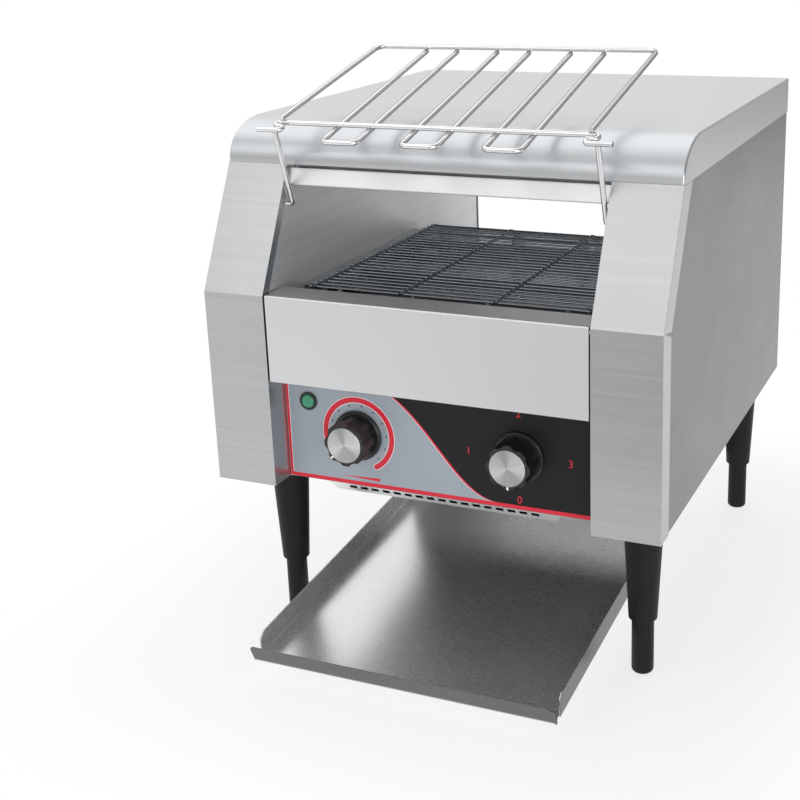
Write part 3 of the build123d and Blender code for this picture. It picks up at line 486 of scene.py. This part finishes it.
SLOT_FINISH = {
    "brushed_sheet": COLUMN_STEEL,
    "cover_sheet": COVER_STEEL,
    "front_sheet": FRONT_STEEL,
    "plain_sheet": PLAIN_STEEL,
    "tray_sheet": TRAY_STEEL_WITH_PAINTED_SHADE,
    "overlay_print": FILM,
    "rack_wire": CHROME,
    "belt_wire": BELT_STEEL,
    "shaft_steel": SHAFT_STEEL,
    "bush_bronze": BRONZE,
    "heater_sheath": SHEATH,
    "ceramic": CERAMIC,
    "motor_case": MOTOR_PAINT,
    "black_plastic": BLACK_PLASTIC,
    "leg_plastic": LEG_PLASTIC,
    "knob_plastic": KNOB_PLASTIC,
    "knob_cap_metal": SHAFT_STEEL,
    "lamp_green": LAMP,
}
NODE_FINISH = {
    "left_side_panel": SIDE_STEEL_PAINTED_SHADE,
    "right_side_panel": SIDE_STEEL_PAINTED_SHADE,
    "base_frame": BASE_STEEL_PAINTED_SHADE,
    "vent_pan": VENT_STEEL_PAINTED_SHADE,
    # The lintel takes the brighter front-panel steel to lift it out of the shade under the cover: painted light.
    "lintel": FRONT_STEEL,
    "upper_reflector": BRIGHT_STEEL,
    "lower_reflector": BRIGHT_STEEL,
    "discharge_chute": CHUTE_PAINTED_SHADE,
    "left_inner_wall": WALL_STEEL_PAINTED_LIGHT,
    "right_inner_wall": WALL_STEEL_PAINTED_LIGHT,
}
SLOT_OF = {row["node"]: row["material_slot"] for row in frame["record"]["subparts"]}


def paint(thing, finish):
    thing.data.materials.clear()
    thing.data.materials.append(finish.owner)


def finish_of(node):
    return NODE_FINISH.get(node) or SLOT_FINISH[SLOT_OF[node]]


# Mesh tools


def body_of(node):
    return next(name for name, nodes in frame["record"]["behaviour"]["bodies"].items() if node in nodes)


def piece(name, shape, finish, body, nodes=()):
    """Turns a bmesh into an object that rides on a body and may stand for CAD nodes."""
    mesh = bpy.data.meshes.new(name)
    shape.to_mesh(mesh)
    shape.free()
    mesh.polygons.foreach_set("use_smooth", [True] * len(mesh.polygons))
    mesh.set_sharp_from_angle(angle=SMOOTH_ANGLE)
    made = bpy.data.objects.new(name, mesh)
    bpy.context.scene.collection.objects.link(made)
    paint(made, finish)
    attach(made, body)
    if nodes:
        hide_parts(*nodes)
    return made


def reach(node, axis, pick, **at):
    """The lowest or highest place along an axis among a node's corners, at given places on other axes."""
    corners = [v.co for v in frame["nodes"][node].data.vertices]
    near = [c for c in corners if all(abs(c["xyz".index(a)] - value) < SAME_PLACE for a, value in at.items())]
    return pick(c["xyz".index(axis)] for c in near)


def stamp(target, shape, places):
    """Adds a small bmesh to a larger one at each of a list of places, and frees it."""
    once = bpy.data.meshes.new("stamp")
    shape.to_mesh(once)
    shape.free()
    for place in places:
        copy = once.copy()
        copy.transform(place)
        target.from_mesh(copy)
        bpy.data.meshes.remove(copy)
    bpy.data.meshes.remove(once)


def merged_copy(node):
    """A node's solid as a bmesh of whole flat faces."""
    shape = bmesh.new()
    shape.from_mesh(frame["nodes"][node].data)
    bmesh.ops.remove_doubles(shape, verts=shape.verts, dist=WELD_DISTANCE)
    bmesh.ops.dissolve_limit(shape, angle_limit=FLAT_ANGLE, verts=shape.verts, edges=shape.edges)
    return shape


def bevel(shape, edges, width, segments):
    bmesh.ops.bevel(shape, geom=edges, offset=width, offset_type="OFFSET", segments=segments, profile=0.5,
                    affect="EDGES", material=-1, clamp_overlap=False)


def is_rim(face):
    """True for the narrow face along a sheet's cut edge."""
    half_way_round = sum(edge.calc_length() for edge in face.edges) / 2
    return face.calc_area() < RIM_SHARE * SHEET * half_way_round


def is_sharp(edge):
    return len(edge.link_faces) == 2 and edge.calc_face_angle(0.0) > SHARP_ANGLE


def keep_inside(shape, node):
    """Draws a point that a bevel pushed out of a node's box back to it."""
    low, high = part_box(node)
    for vert in shape.verts:
        vert.co = [min(max(at, least), most) for at, least, most in zip(vert.co, low, high)]


def sheet_piece(name, shape, node, stands_for=True):
    """A sheet with a node's finish, body and slot, whose broad faces are shaded flat."""
    nodes = [node] if stands_for else ()
    made = piece(name, shape, finish_of(node), body_of(node), nodes)
    made.modifiers.new("flat faces", "WEIGHTED_NORMAL").keep_sharp = True


def folded_sheet(node):
    """A sheet-metal node with round folds and broken cut edges."""
    shape = merged_copy(node)
    folds = [e for e in shape.edges if is_sharp(e) and not any(is_rim(f) for f in e.link_faces)]
    outer = [e for e in folds if e.is_convex]
    inner = [e for e in folds if not e.is_convex]
    bevel(shape, outer, FOLD, OUTER_FOLD_STEPS)
    inner = [e for e in inner if e.is_valid]
    bevel(shape, inner, max(FOLD - SHEET, BROKEN_EDGE), INNER_FOLD_STEPS)
    cut = [e for e in shape.edges if is_sharp(e) and any(is_rim(f) for f in e.link_faces)]
    bevel(shape, cut, BROKEN_EDGE, EDGE_STEPS)
    keep_inside(shape, node)
    sheet_piece(node + "_folded", shape, node)


def bent_sheet(name, shape, folds, width, node, inward, stands_for=True):
    """Rounds an outer skin's folds and gives it the sheet's thickness towards a point inside it."""
    bmesh.ops.recalc_face_normals(shape, faces=shape.faces)
    bevel(shape, folds, width, SKIN_FOLD_STEPS)
    side = max(shape.faces, key=lambda face: face.calc_area())
    if side.normal.dot(inward - side.calc_center_median()) > 0:
        bmesh.ops.reverse_faces(shape, faces=shape.faces)
    bmesh.ops.solidify(shape, geom=shape.faces[:], thickness=SHEET)
    bmesh.ops.recalc_face_normals(shape, faces=shape.faces)
    cut = [e for e in shape.edges if is_sharp(e)]
    bevel(shape, cut, BROKEN_EDGE, EDGE_STEPS)
    sheet_piece(name, shape, node, stands_for)


def turned(profile, centre):
    """Spins a profile of (radius, depth) points round the Y axis through a centre."""
    shape = bmesh.new()
    ring = [shape.verts.new((radius, depth, 0)) for radius, depth in profile]
    edges = [shape.edges.new(pair) for pair in zip(ring, ring[1:])]
    bmesh.ops.spin(shape, geom=ring + edges, cent=(0, 0, 0), axis=(0, 1, 0), angle=2 * pi,
                   steps=TURNED_STEPS, use_merge=True)
    bmesh.ops.remove_doubles(shape, verts=shape.verts, dist=WELD_DISTANCE)
    bmesh.ops.recalc_face_normals(shape, faces=shape.faces)
    bmesh.ops.translate(shape, verts=shape.verts, vec=centre)
    return shape


def islands(node):
    """The boxes of a node's separate solids, each as its lowest and highest corner."""
    shape = merged_copy(node)
    left = set(shape.verts)
    boxes = []
    while left:
        reached = [left.pop()]
        for vert in reached:
            near = {e.other_vert(vert) for e in vert.link_edges} & left
            left -= near
            reached.extend(near)
        lows = [min(v.co[axis] for v in reached) for axis in range(3)]
        highs = [max(v.co[axis] for v in reached) for axis in range(3)]
        boxes.append((Vector(lows), Vector(highs)))
    shape.free()
    return boxes


# Sheet-metal shell


def column_cover(side):
    """Front column: a face that leans back above its kink, a notched side flange and an inner return."""
    node = side + "_column_cover"
    low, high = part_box(node)
    front, bottom, top = low.y, low.z, high.z
    outer = high.x if side == "right" else low.x
    inner = low.x if side == "right" else high.x
    kink = reach(node, "z", max, y=front)
    set_back = reach(node, "y", min, z=top)
    flange_low = reach(node, "y", max, x=outer, z=bottom)
    flange_high = reach(node, "y", max, x=outer, z=top)
    return_low = reach(node, "y", max, x=inner, z=bottom)
    return_high = reach(node, "y", max, x=inner, z=top)
    step = reach(node, "z", max, y=return_low)
    shape = bmesh.new()

    def corner(x, y, z):
        return shape.verts.new((x, y, z))

    lower_in, lower_out = corner(inner, front, bottom), corner(outer, front, bottom)
    kink_in, kink_out = corner(inner, front, kink), corner(outer, front, kink)
    upper_in, upper_out = corner(inner, set_back, top), corner(outer, set_back, top)
    notch_low = corner(outer, flange_low, kink - NOTCH_BELOW)
    notch_root = corner(outer, front + NOTCH_ROOT, kink)
    notch_high = corner(outer, flange_low + SHEET, kink - NOTCH_ABOVE)
    lean = (return_high - set_back) + (set_back - front) * (step - kink) / (top - kink) + front
    shape.faces.new((lower_in, lower_out, kink_out, kink_in))
    shape.faces.new((kink_in, kink_out, upper_out, upper_in))
    shape.faces.new((lower_out, corner(outer, flange_low, bottom), notch_low, notch_root, kink_out))
    shape.faces.new((kink_out, notch_root, notch_high, corner(outer, flange_high, top), upper_out))
    shape.faces.new([lower_in, kink_in, upper_in, corner(inner, return_high, top), corner(inner, lean, step),
                     corner(inner, return_low, step), corner(inner, return_low, bottom)])
    folds = [e for e in shape.edges if is_sharp(e)]
    inward = Vector(((outer + inner) / 2, return_low, bottom))
    bent_sheet(node + "_bent", shape, folds, FOLD, node, inward)


def tray():
    """Sloping tray: a plate with two side walls, rounded at the front, and a lip that leans out."""
    low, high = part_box("collecting_tray")
    half = high.x
    front_z = low.z
    front_y = reach("collecting_tray", "y", min, z=front_z)
    length = (reach("collecting_tray", "y", max) - front_y) / cos(TRAY_SLOPE)
    shape = bmesh.new()

    def corner(x, along, up):
        return shape.verts.new((x, along, up))

    lip_out, lip_up = -TRAY_LIP * sin(TRAY_LIP_LEAN), TRAY_LIP * cos(TRAY_LIP_LEAN)
    fronts = [corner(x, 0, 0) for x in (-half, half)]
    starts = [corner(x, TRAY_CORNER_RELIEF, 0) for x in (-half, half)]
    rears = [corner(x, length, 0) for x in (-half, half)]
    lip_tops = [corner(x, lip_out, lip_up) for x in (-half, half)]
    wall_fronts = [corner(x, TRAY_CORNER_RELIEF, TRAY_WALL) for x in (-half, half)]
    wall_rears = [corner(x, length, TRAY_WALL) for x in (-half, half)]
    shape.faces.new([fronts[0], fronts[1], starts[1], rears[1], rears[0], starts[0]])
    shape.faces.new([fronts[0], lip_tops[0], lip_tops[1], fronts[1]])
    for n in (0, 1):
        shape.faces.new([starts[n], rears[n], wall_rears[n], wall_fronts[n]])
    for corners, radius in ((wall_fronts, TRAY_WALL_CORNER), (lip_tops, TRAY_LIP_CORNER)):
        bmesh.ops.bevel(shape, geom=corners, offset=radius, offset_type="OFFSET", profile=0.5,
                        segments=TRAY_CORNER_STEPS, affect="VERTICES", material=-1)
    folds = [e for e in shape.edges if len(e.link_faces) == 2]
    slope = Matrix.Translation((0, front_y, front_z)) @ Matrix.Rotation(TRAY_SLOPE, 4, "X")
    bmesh.ops.transform(shape, matrix=slope, verts=shape.verts)
    inward = Vector((0, front_y + length / 2, front_z + length / 2))
    bent_sheet("collecting_tray_bent", shape, folds, TRAY_FOLD, "collecting_tray", inward)


def crumb_sheet():
    """Loose sheet on the base, dark with the chute's painted shade, under the belt, with both ends turned up."""
    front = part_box("control_box_shield")[1].y + CRUMB_GAP
    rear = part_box("conveyor_belt")[1].y - CRUMB_REAR
    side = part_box("right_inner_wall")[0].x - CRUMB_GAP
    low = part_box("base_frame")[1].z
    shape = bmesh.new()
    profile = [(front, low + CRUMB_HEM), (front, low), (rear, low), (rear, low + CRUMB_HEM)]
    row = [shape.verts.new((-side, y, z)) for y, z in profile]
    edges = [shape.edges.new(pair) for pair in zip(row, row[1:])]
    across = bmesh.ops.extrude_edge_only(shape, edges=edges)["geom"]
    moved = [part for part in across if isinstance(part, bmesh.types.BMVert)]
    bmesh.ops.translate(shape, verts=moved, vec=(2 * side, 0, 0))
    folds = [e for e in shape.edges if is_sharp(e)]
    inward = Vector((0, 0, low + CRUMB_HEM))
    bent_sheet("crumb_sheet", shape, folds, TRAY_FOLD, "discharge_chute", inward, stands_for=False)


def shell():
    for side in ("left", "right"):
        column_cover(side)
    for node in ("lintel", "front_panel", "top_cover", "left_side_panel", "right_side_panel"):
        folded_sheet(node)
    tray()
    crumb_sheet()


# Conveyor belt


def belt():
    """Straight rods tied by small links, round both shafts."""
    low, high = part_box("conveyor_belt")
    radius = (high.z - low.z) / 2 - BELT_WIRE
    middle = (high.z + low.z) / 2
    front = low.y + BELT_WIRE + radius
    rear = high.y - BELT_WIRE - radius
    half_width = high.x
    run = rear - front
    around = 2 * run + 2 * pi * radius

    def along_belt(rods):
        """Frame at a number of rod pitches round the loop: X along a rod, Y the way the belt goes."""
        travel = rods * around / BELT_RODS % around
        if travel < run:
            return Matrix.Translation((0, front + travel, middle + radius))
        travel -= run
        half_turn = pi * radius
        if travel < half_turn:
            turn = Matrix.Rotation(-travel / radius, 4, "X")
            return Matrix.Translation((0, rear, middle)) @ turn @ Matrix.Translation((0, 0, radius))
        travel -= half_turn
        if travel < run:
            return Matrix.Translation((0, rear - travel, middle - radius)) @ Matrix.Rotation(-pi, 4, "X")
        turn = Matrix.Rotation(-pi - (travel - run) / radius, 4, "X")
        return Matrix.Translation((0, front, middle)) @ turn @ Matrix.Translation((0, 0, radius))

    shape = bmesh.new()
    rod = bmesh.new()
    bmesh.ops.create_cone(rod, cap_ends=True, segments=ROD_SIDES, radius1=BELT_WIRE,
                          radius2=BELT_WIRE, depth=2 * half_width, matrix=Matrix.Rotation(pi / 2, 4, "Y"))
    stamp(shape, rod, [along_belt(n) for n in range(BELT_RODS)])
    reach_out = half_width - LINK_LOOP
    strands = [Matrix.Translation((share * reach_out, 0, 0)) for share in BELT_STRAND_SHARES]
    links = [along_belt(n + 0.5) @ strand for n in range(BELT_RODS) for strand in strands]
    stamp(shape, belt_link(around / BELT_RODS / 2), links)
    piece("wire_belt", shape, BELT_STEEL, "housing", ["conveyor_belt"])


def belt_link(half_pitch):
    """A wire ring, stretched along the belt to hold two rods."""
    shape = bmesh.new()
    place = Matrix.Translation((LINK_LOOP, 0, 0)) @ Matrix.Rotation(pi / 2, 4, "X")
    bmesh.ops.create_circle(shape, segments=LINK_SIDES, radius=LINK_WIRE, matrix=place)
    bmesh.ops.spin(shape, geom=shape.verts[:] + shape.edges[:], cent=(0, 0, 0), axis=(0, 0, 1), angle=2 * pi,
                   steps=LINK_STEPS, use_merge=True)
    for way in (-1, 1):
        end = [v for v in shape.verts if v.co.y * way > WELD_DISTANCE]
        bmesh.ops.translate(shape, verts=end, vec=(0, way * half_pitch, 0))
    bmesh.ops.recalc_face_normals(shape, faces=shape.faces)
    return shape


# Control panel print

PANEL_LOW, PANEL_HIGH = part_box("panel_overlay")
PANEL_PLACE = Matrix.Translation((0, PANEL_LOW.y, 0)) @ Matrix.Rotation(pi / 2, 4, "X")
JOINT_AT = {joint["name"]: Vector(joint["pos_m"]) for joint in frame["joints"] if "pos_m" in joint}


def printed(name, shape, layers, finish):
    """A flat shape drawn in X and Z, made a film of ink that stands on the panel's face."""
    bmesh.ops.recalc_face_normals(shape, faces=shape.faces)
    bmesh.ops.solidify(shape, geom=shape.faces[:], thickness=layers * INK)
    lowest = min(v.co.z for v in shape.verts)
    bmesh.ops.translate(shape, verts=shape.verts, vec=(0, 0, -lowest))
    bmesh.ops.recalc_face_normals(shape, faces=shape.faces)
    bmesh.ops.transform(shape, matrix=PANEL_PLACE, verts=shape.verts)
    piece(name, shape, finish, "housing")


def flat_box(x0, z0, x1, z1):
    shape = bmesh.new()
    place = Matrix.Translation(((x0 + x1) / 2, (z0 + z1) / 2, 0)) @ Matrix.Diagonal((x1 - x0, z1 - z0, 1, 1))
    bmesh.ops.create_grid(shape, x_segments=1, y_segments=1, size=0.5, matrix=place)
    return shape


def flat_curve(points):
    """The area inside a Bezier outline; each point is (left handle, point, right handle)."""
    curve = bpy.data.curves.new("outline", "CURVE")
    curve.dimensions = "2D"
    curve.fill_mode = "BOTH"
    curve.resolution_u = CURVE_STEPS
    spline = curve.splines.new("BEZIER")
    spline.bezier_points.add(len(points) - 1)
    spline.use_cyclic_u = True
    for target, (before, at, after) in zip(spline.bezier_points, points):
        target.handle_left = (*before, 0)
        target.co = (*at, 0)
        target.handle_right = (*after, 0)
    return flat_mesh(curve)


def flat_mesh(curve):
    """A flat curve or text as a bmesh."""
    drawn = bpy.data.objects.new("drawn", curve)
    mesh = bpy.data.meshes.new_from_object(drawn)
    shape = bmesh.new()
    shape.from_mesh(mesh)
    bpy.data.meshes.remove(mesh)
    bpy.data.objects.remove(drawn)
    bmesh.ops.remove_doubles(shape, verts=shape.verts, dist=WELD_DISTANCE)
    return shape


def swept_field(shift):
    """The panel's right-hand field, whose left edge sweeps down from the top to the base line."""
    top, right = PANEL_HIGH.z, PANEL_HIGH.x
    foot = PANEL_LOW.z + BASE_LINE
    start = (SWEEP_TOP + shift, top)
    end = (SWEEP_FOOT + shift, foot)
    leave = (SWEEP_TOP_HANDLE + shift, top - SWEEP_TOP_FALL)
    arrive = (SWEEP_FOOT_HANDLE + shift, foot)
    return flat_curve([(start, start, leave), (arrive, end, end), ((right, foot),) * 3, ((right, top),) * 3])


def round_scale(centre, width):
    """A ring sector with round ends, for the dial's scale."""
    shape = bmesh.new()

    def on_circle(angle, radius):
        return Vector((centre.x + radius * cos(angle), centre.z + radius * sin(angle), 0))

    def radial(angle, radii):
        return [shape.verts.new(on_circle(angle, radius)) for radius in radii]

    inner, outer = SCALE_RADIUS - width / 2, SCALE_RADIUS + width / 2
    row = radial(SCALE_START, (inner, SCALE_RADIUS, outer))
    edges = [shape.edges.new(pair) for pair in zip(row, row[1:])]
    bmesh.ops.spin(shape, geom=row + edges, cent=(centre.x, centre.z, 0), axis=(0, 0, 1),
                   angle=-SCALE_SWEEP, steps=SCALE_STEPS)
    for angle, turn in ((SCALE_START, pi), (SCALE_START - SCALE_SWEEP, -pi)):
        spoke = radial(angle, (SCALE_RADIUS, outer))
        bmesh.ops.spin(shape, geom=spoke + [shape.edges.new(spoke)], cent=spoke[0].co.copy(),
                       axis=(0, 0, 1), angle=turn, steps=SCALE_END_STEPS)
    bmesh.ops.remove_doubles(shape, verts=shape.verts, dist=WELD_DISTANCE)
    return shape


def scale_dots(centre):
    shape = bmesh.new()
    for number in range(SCALE_DOTS):
        angle = SCALE_START - SCALE_SWEEP * (number + 0.5) / SCALE_DOTS
        place = (centre.x + DOT_CIRCLE * cos(angle), centre.z + DOT_CIRCLE * sin(angle), 0)
        bmesh.ops.create_circle(shape, cap_ends=True, segments=DOT_SIDES, radius=DOT_RADIUS,
                                matrix=Matrix.Translation(place))
    return shape


def digit(text, x, z):
    lettering = bpy.data.curves.new("digit", "FONT")
    lettering.body = text
    lettering.size = DIGIT_HEIGHT / DIGIT_SHARE
    lettering.align_x = "CENTER"
    shape = flat_mesh(lettering)
    bmesh.ops.translate(shape, verts=shape.verts, vec=(x, z - DIGIT_HEIGHT / 2, 0))
    return shape


def wedge(x, z):
    """A thin wedge that grows to the right: from less to more."""
    shape = bmesh.new()
    side, up = WEDGE_LENGTH / 2, WEDGE_HEIGHT / 2
    corners = ((-side, 0), (side, -up), (side, up))
    shape.faces.new([shape.verts.new((x + across, z + rise, 0)) for across, rise in corners])
    return shape


def panel_print():
    low, high = PANEL_LOW, PANEL_HIGH
    speed = JOINT_AT["speed_turn"]
    function = JOINT_AT["function_turn"]
    foot = low.z + BASE_LINE
    inside = low.x + BORDER
    printed("panel_left_border", flat_box(low.x, foot, inside, high.z), 1, RED_INK)
    printed("panel_left_hairline", flat_box(inside, foot, inside + HAIRLINE, high.z), 1, PALE_INK)
    printed("panel_base_line", flat_box(low.x, low.z, high.x, foot), 4, RED_INK)
    printed("panel_sweep_hairline", swept_field(-SWEEP_EDGE - HAIRLINE), 1, PALE_INK)
    printed("panel_sweep_edge", swept_field(-SWEEP_EDGE), 2, RED_INK)
    printed("panel_black_field", swept_field(0.0), 3, BLACK_INK)
    printed("speed_scale_outline", round_scale(speed, SCALE_WIDTH + 2 * SCALE_OUTLINE), 1, PALE_INK)
    printed("speed_scale", round_scale(speed, SCALE_WIDTH), 2, RED_INK)
    printed("speed_scale_dots", scale_dots(speed), 1, BLACK_INK)
    for number, (across, up) in enumerate(((0, -1), (-1, 0), (0, 1), (1, 0))):
        x = function.x + across * DIGIT_SIDE
        z = function.z + up * DIGIT_ABOVE
        printed(f"function_digit_{number}", digit(str(number), x, z), 4, RED_INK)
    printed("speed_wedge", wedge(speed.x, foot + WEDGE_RISE), 1, RED_INK)


# Knobs


def knob(name, direction):
    """Spun cap and white pointer of a knob; direction is the pointer's angle at rest."""
    body = name + "_dial"
    node = name + "_knob_cap"
    low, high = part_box(node)
    radius = (high.x - low.x) / 2
    centre = Vector(((low.x + high.x) / 2, 0, (low.z + high.z) / 2))
    front, back = low.y, high.y
    dished = radius - CAP_BORDER
    profile = [(0, back), (radius, back), (radius, front + CAP_RIM), (radius - CAP_RIM, front)]
    profile.append((dished, front))
    for number in range(CAP_GROOVES):
        share = 1 - (number + 1) / (CAP_GROOVES + 1)
        depth = front + CAP_DISH * (1 - share)
        profile.append((dished * (share + CAP_GROOVE_SHARE / CAP_GROOVES), depth))
        profile.append((dished * share, depth + CAP_GROOVE_DEPTH))
    profile.append((0, front + CAP_DISH))
    finish = spun_metal(name + "_cap_spun_metal", CAP_TONE, (centre.x, front, centre.z))
    piece(name + "_cap_turned", turned(profile, centre), finish, body, [node])

    grip_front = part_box(name + "_knob")[0].y
    rim = reach(name + "_knob", "z", max, y=grip_front) - centre.z
    corners = [v.co for v in frame["nodes"][name + "_knob"].data.vertices]
    side = max(at.z for at in corners if at.y < grip_front + POINTER_DROP) - centre.z
    bevel_depth = side - rim
    shape = bmesh.new()
    face_bar = (POINTER_WIDTH, 2 * POINTER_STAND, rim - radius - POINTER_STAND)
    side_bar = (POINTER_WIDTH, POINTER_DROP - bevel_depth, 2 * POINTER_STAND)
    face_at = (0, grip_front, (rim + radius + POINTER_STAND) / 2)
    side_at = (0, grip_front + (POINTER_DROP + bevel_depth) / 2, side)
    for size, at in ((face_bar, face_at), (side_bar, side_at)):
        bmesh.ops.create_cube(shape, size=1, matrix=Matrix.Translation(at) @ Matrix.Diagonal((*size, 1)))
    bevel(shape, shape.edges[:], POINTER_EDGE, EDGE_STEPS)
    turn = Matrix.Translation(centre) @ Matrix.Rotation(pi / 2 - direction, 4, "Y")
    bmesh.ops.transform(shape, matrix=turn, verts=shape.verts)
    piece(name + "_pointer", shape, WHITE_PAINT, body)


# Rear fasteners


def screw_crosses():
    """Cross recesses in the heads of the rear panel's screws, drawn as thin near-black crosses: painted shade."""
    shape = bmesh.new()
    for low, high in islands("back_screws"):
        arm = (high.x - low.x) / 4
        cross = bmesh.new()
        bmesh.ops.create_grid(cross, x_segments=3, y_segments=3, size=arm)
        corners = [f for f in cross.faces if min(map(abs, f.calc_center_median().xy)) > arm / 3]
        bmesh.ops.delete(cross, geom=corners, context="FACES")
        bmesh.ops.solidify(cross, geom=cross.faces[:], thickness=CROSS_DEPTH)
        bmesh.ops.recalc_face_normals(cross, faces=cross.faces)
        centre = ((low.x + high.x) / 2, high.y, (low.z + high.z) / 2)
        stamp(shape, cross, [Matrix.Translation(centre) @ Matrix.Rotation(pi / 2, 4, "X")])
    piece("back_screw_crosses", shape, RECESS_PAINTED_SHADE, "housing")


# Studio


def floor():
    """White paper floor with a pale shadow near the object; steel mirrors its front end as grey."""
    shape = bmesh.new()
    bmesh.ops.create_circle(shape, cap_ends=True, segments=FLOOR_SIDES, radius=FLOOR_RADIUS)
    mesh = bpy.data.meshes.new("studio_floor")
    shape.to_mesh(mesh)
    shape.free()
    made = bpy.data.objects.new("studio_floor", mesh)
    bpy.context.scene.collection.objects.link(made)
    finish = material("floor_paint")
    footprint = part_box("base_frame")[1]

    def vector(operation, first, second=(0, 0, 0), output=0):
        return finish.node("ShaderNodeVectorMath", {"operation": operation}, {0: first, 1: second}, output)

    outside = vector("SUBTRACT", vector("ABSOLUTE", finish.place()), (footprint.x, footprint.y, 0))
    distance = vector("LENGTH", vector("MAXIMUM", outside), output="Value")
    clear = finish.smooth_step(distance, SHADOW_START, SHADOW_REACH)
    seen = finish.node("ShaderNodeLightPath", output="Is Camera Ray")
    mirrored = finish.node("ShaderNodeLightPath", output="Is Glossy Ray")
    through = finish.node("ShaderNodeLightPath", output="Is Transmission Ray")
    share = (seen + mirrored + through) * (SHADOW_PALE + (1 - SHADOW_PALE) * clear)
    finish.shade(base_color=(0.9, 0.9, 0.9, 1), roughness=0.7, specular_ior_level=0.1)
    ahead = vector("LENGTH", vector("SUBTRACT", finish.place(), PAPER_END), output="Value")
    lit = finish.smooth_step(ahead, *PAPER_FADE)
    colour = finish.mix(lit.math("MAXIMUM", lit, seen), grey(PAPER_SHADE), grey(1.0))
    paper = finish.node("ShaderNodeEmission", {}, {"Color": colour, "Strength": 1.0})
    surface = finish.node("ShaderNodeMixShader", {},
                          {0: share, 1: Pattern(finish, finish.shader.outputs[0]), 2: paper})
    finish.give(finish.tree.nodes["Material Output"].inputs["Surface"], surface)
    paint(made, finish)


def softbox(name, place, width, height, watts):
    lamp = bpy.data.lights.new(name, "AREA")
    lamp.shape = "RECTANGLE"
    lamp.size = width
    lamp.size_y = height
    lamp.energy = watts
    made = bpy.data.objects.new(name, lamp)
    made.location = place
    made.rotation_euler = (SOFTBOX_AIM - Vector(place)).to_track_quat("-Z", "Y").to_euler()
    bpy.context.scene.collection.objects.link(made)


def backdrop():
    """Paper surround: white to the camera, and to steel greyer in front and to the right of the object."""
    world = bpy.data.worlds.new("paper_surround")
    bpy.context.scene.world = world
    finish = Finish(world, "Background")
    way = finish.node("ShaderNodeTexCoord", output="Generated")
    across = finish.node("ShaderNodeVectorMath", {"operation": "DOT_PRODUCT"}, {0: way, 1: SURROUND_WAY},
                         "Value")
    ahead = finish.node("ShaderNodeSeparateXYZ", {}, {0: way}, "Y")
    sides = finish.grey_ramp(across * 0.5 + 0.5, SURROUND_SIDES)
    depth = finish.grey_ramp(ahead * 0.5 + 0.5, SURROUND_DEPTH)
    both = finish.node("ShaderNodeMix", {"data_type": "RGBA", "blend_type": "MULTIPLY"},
                       {0: 1.0, 6: sides, 7: depth}, 2)
    seen = finish.node("ShaderNodeLightPath", output="Is Camera Ray")
    finish.shade(color=finish.mix(seen, both, grey(1.0)), strength=1.0)


def studio():
    floor()
    backdrop()
    for name, made in SOFTBOXES.items():
        softbox(name, **made)


def camera():
    lens = bpy.data.cameras.new("photo_camera")
    lens.lens = LENS
    lens.sensor_width = SENSOR
    lens.shift_x = CAMERA_SHIFT
    lens.shift_y = CAMERA_SHIFT
    lens.clip_start = CLIP_START
    made = bpy.data.objects.new("photo_camera", lens)
    turn = Matrix.Rotation(CAMERA_YAW, 4, "Z") @ Matrix.Rotation(pi / 2 - CAMERA_PITCH, 4, "X")
    made.matrix_world = Matrix.Translation(CAMERA_PLACE) @ turn @ Matrix.Rotation(CAMERA_ROLL, 4, "Z")
    bpy.context.scene.collection.objects.link(made)
    bpy.context.scene.camera = made


for node, thing in frame["nodes"].items():
    paint(thing, finish_of(node))
shell()
belt()
panel_print()
knob("speed", SPEED_REST)
knob("function", FUNCTION_REST)
screw_crosses()
studio()
camera()
bpy.context.scene.view_settings.view_transform = "Standard"
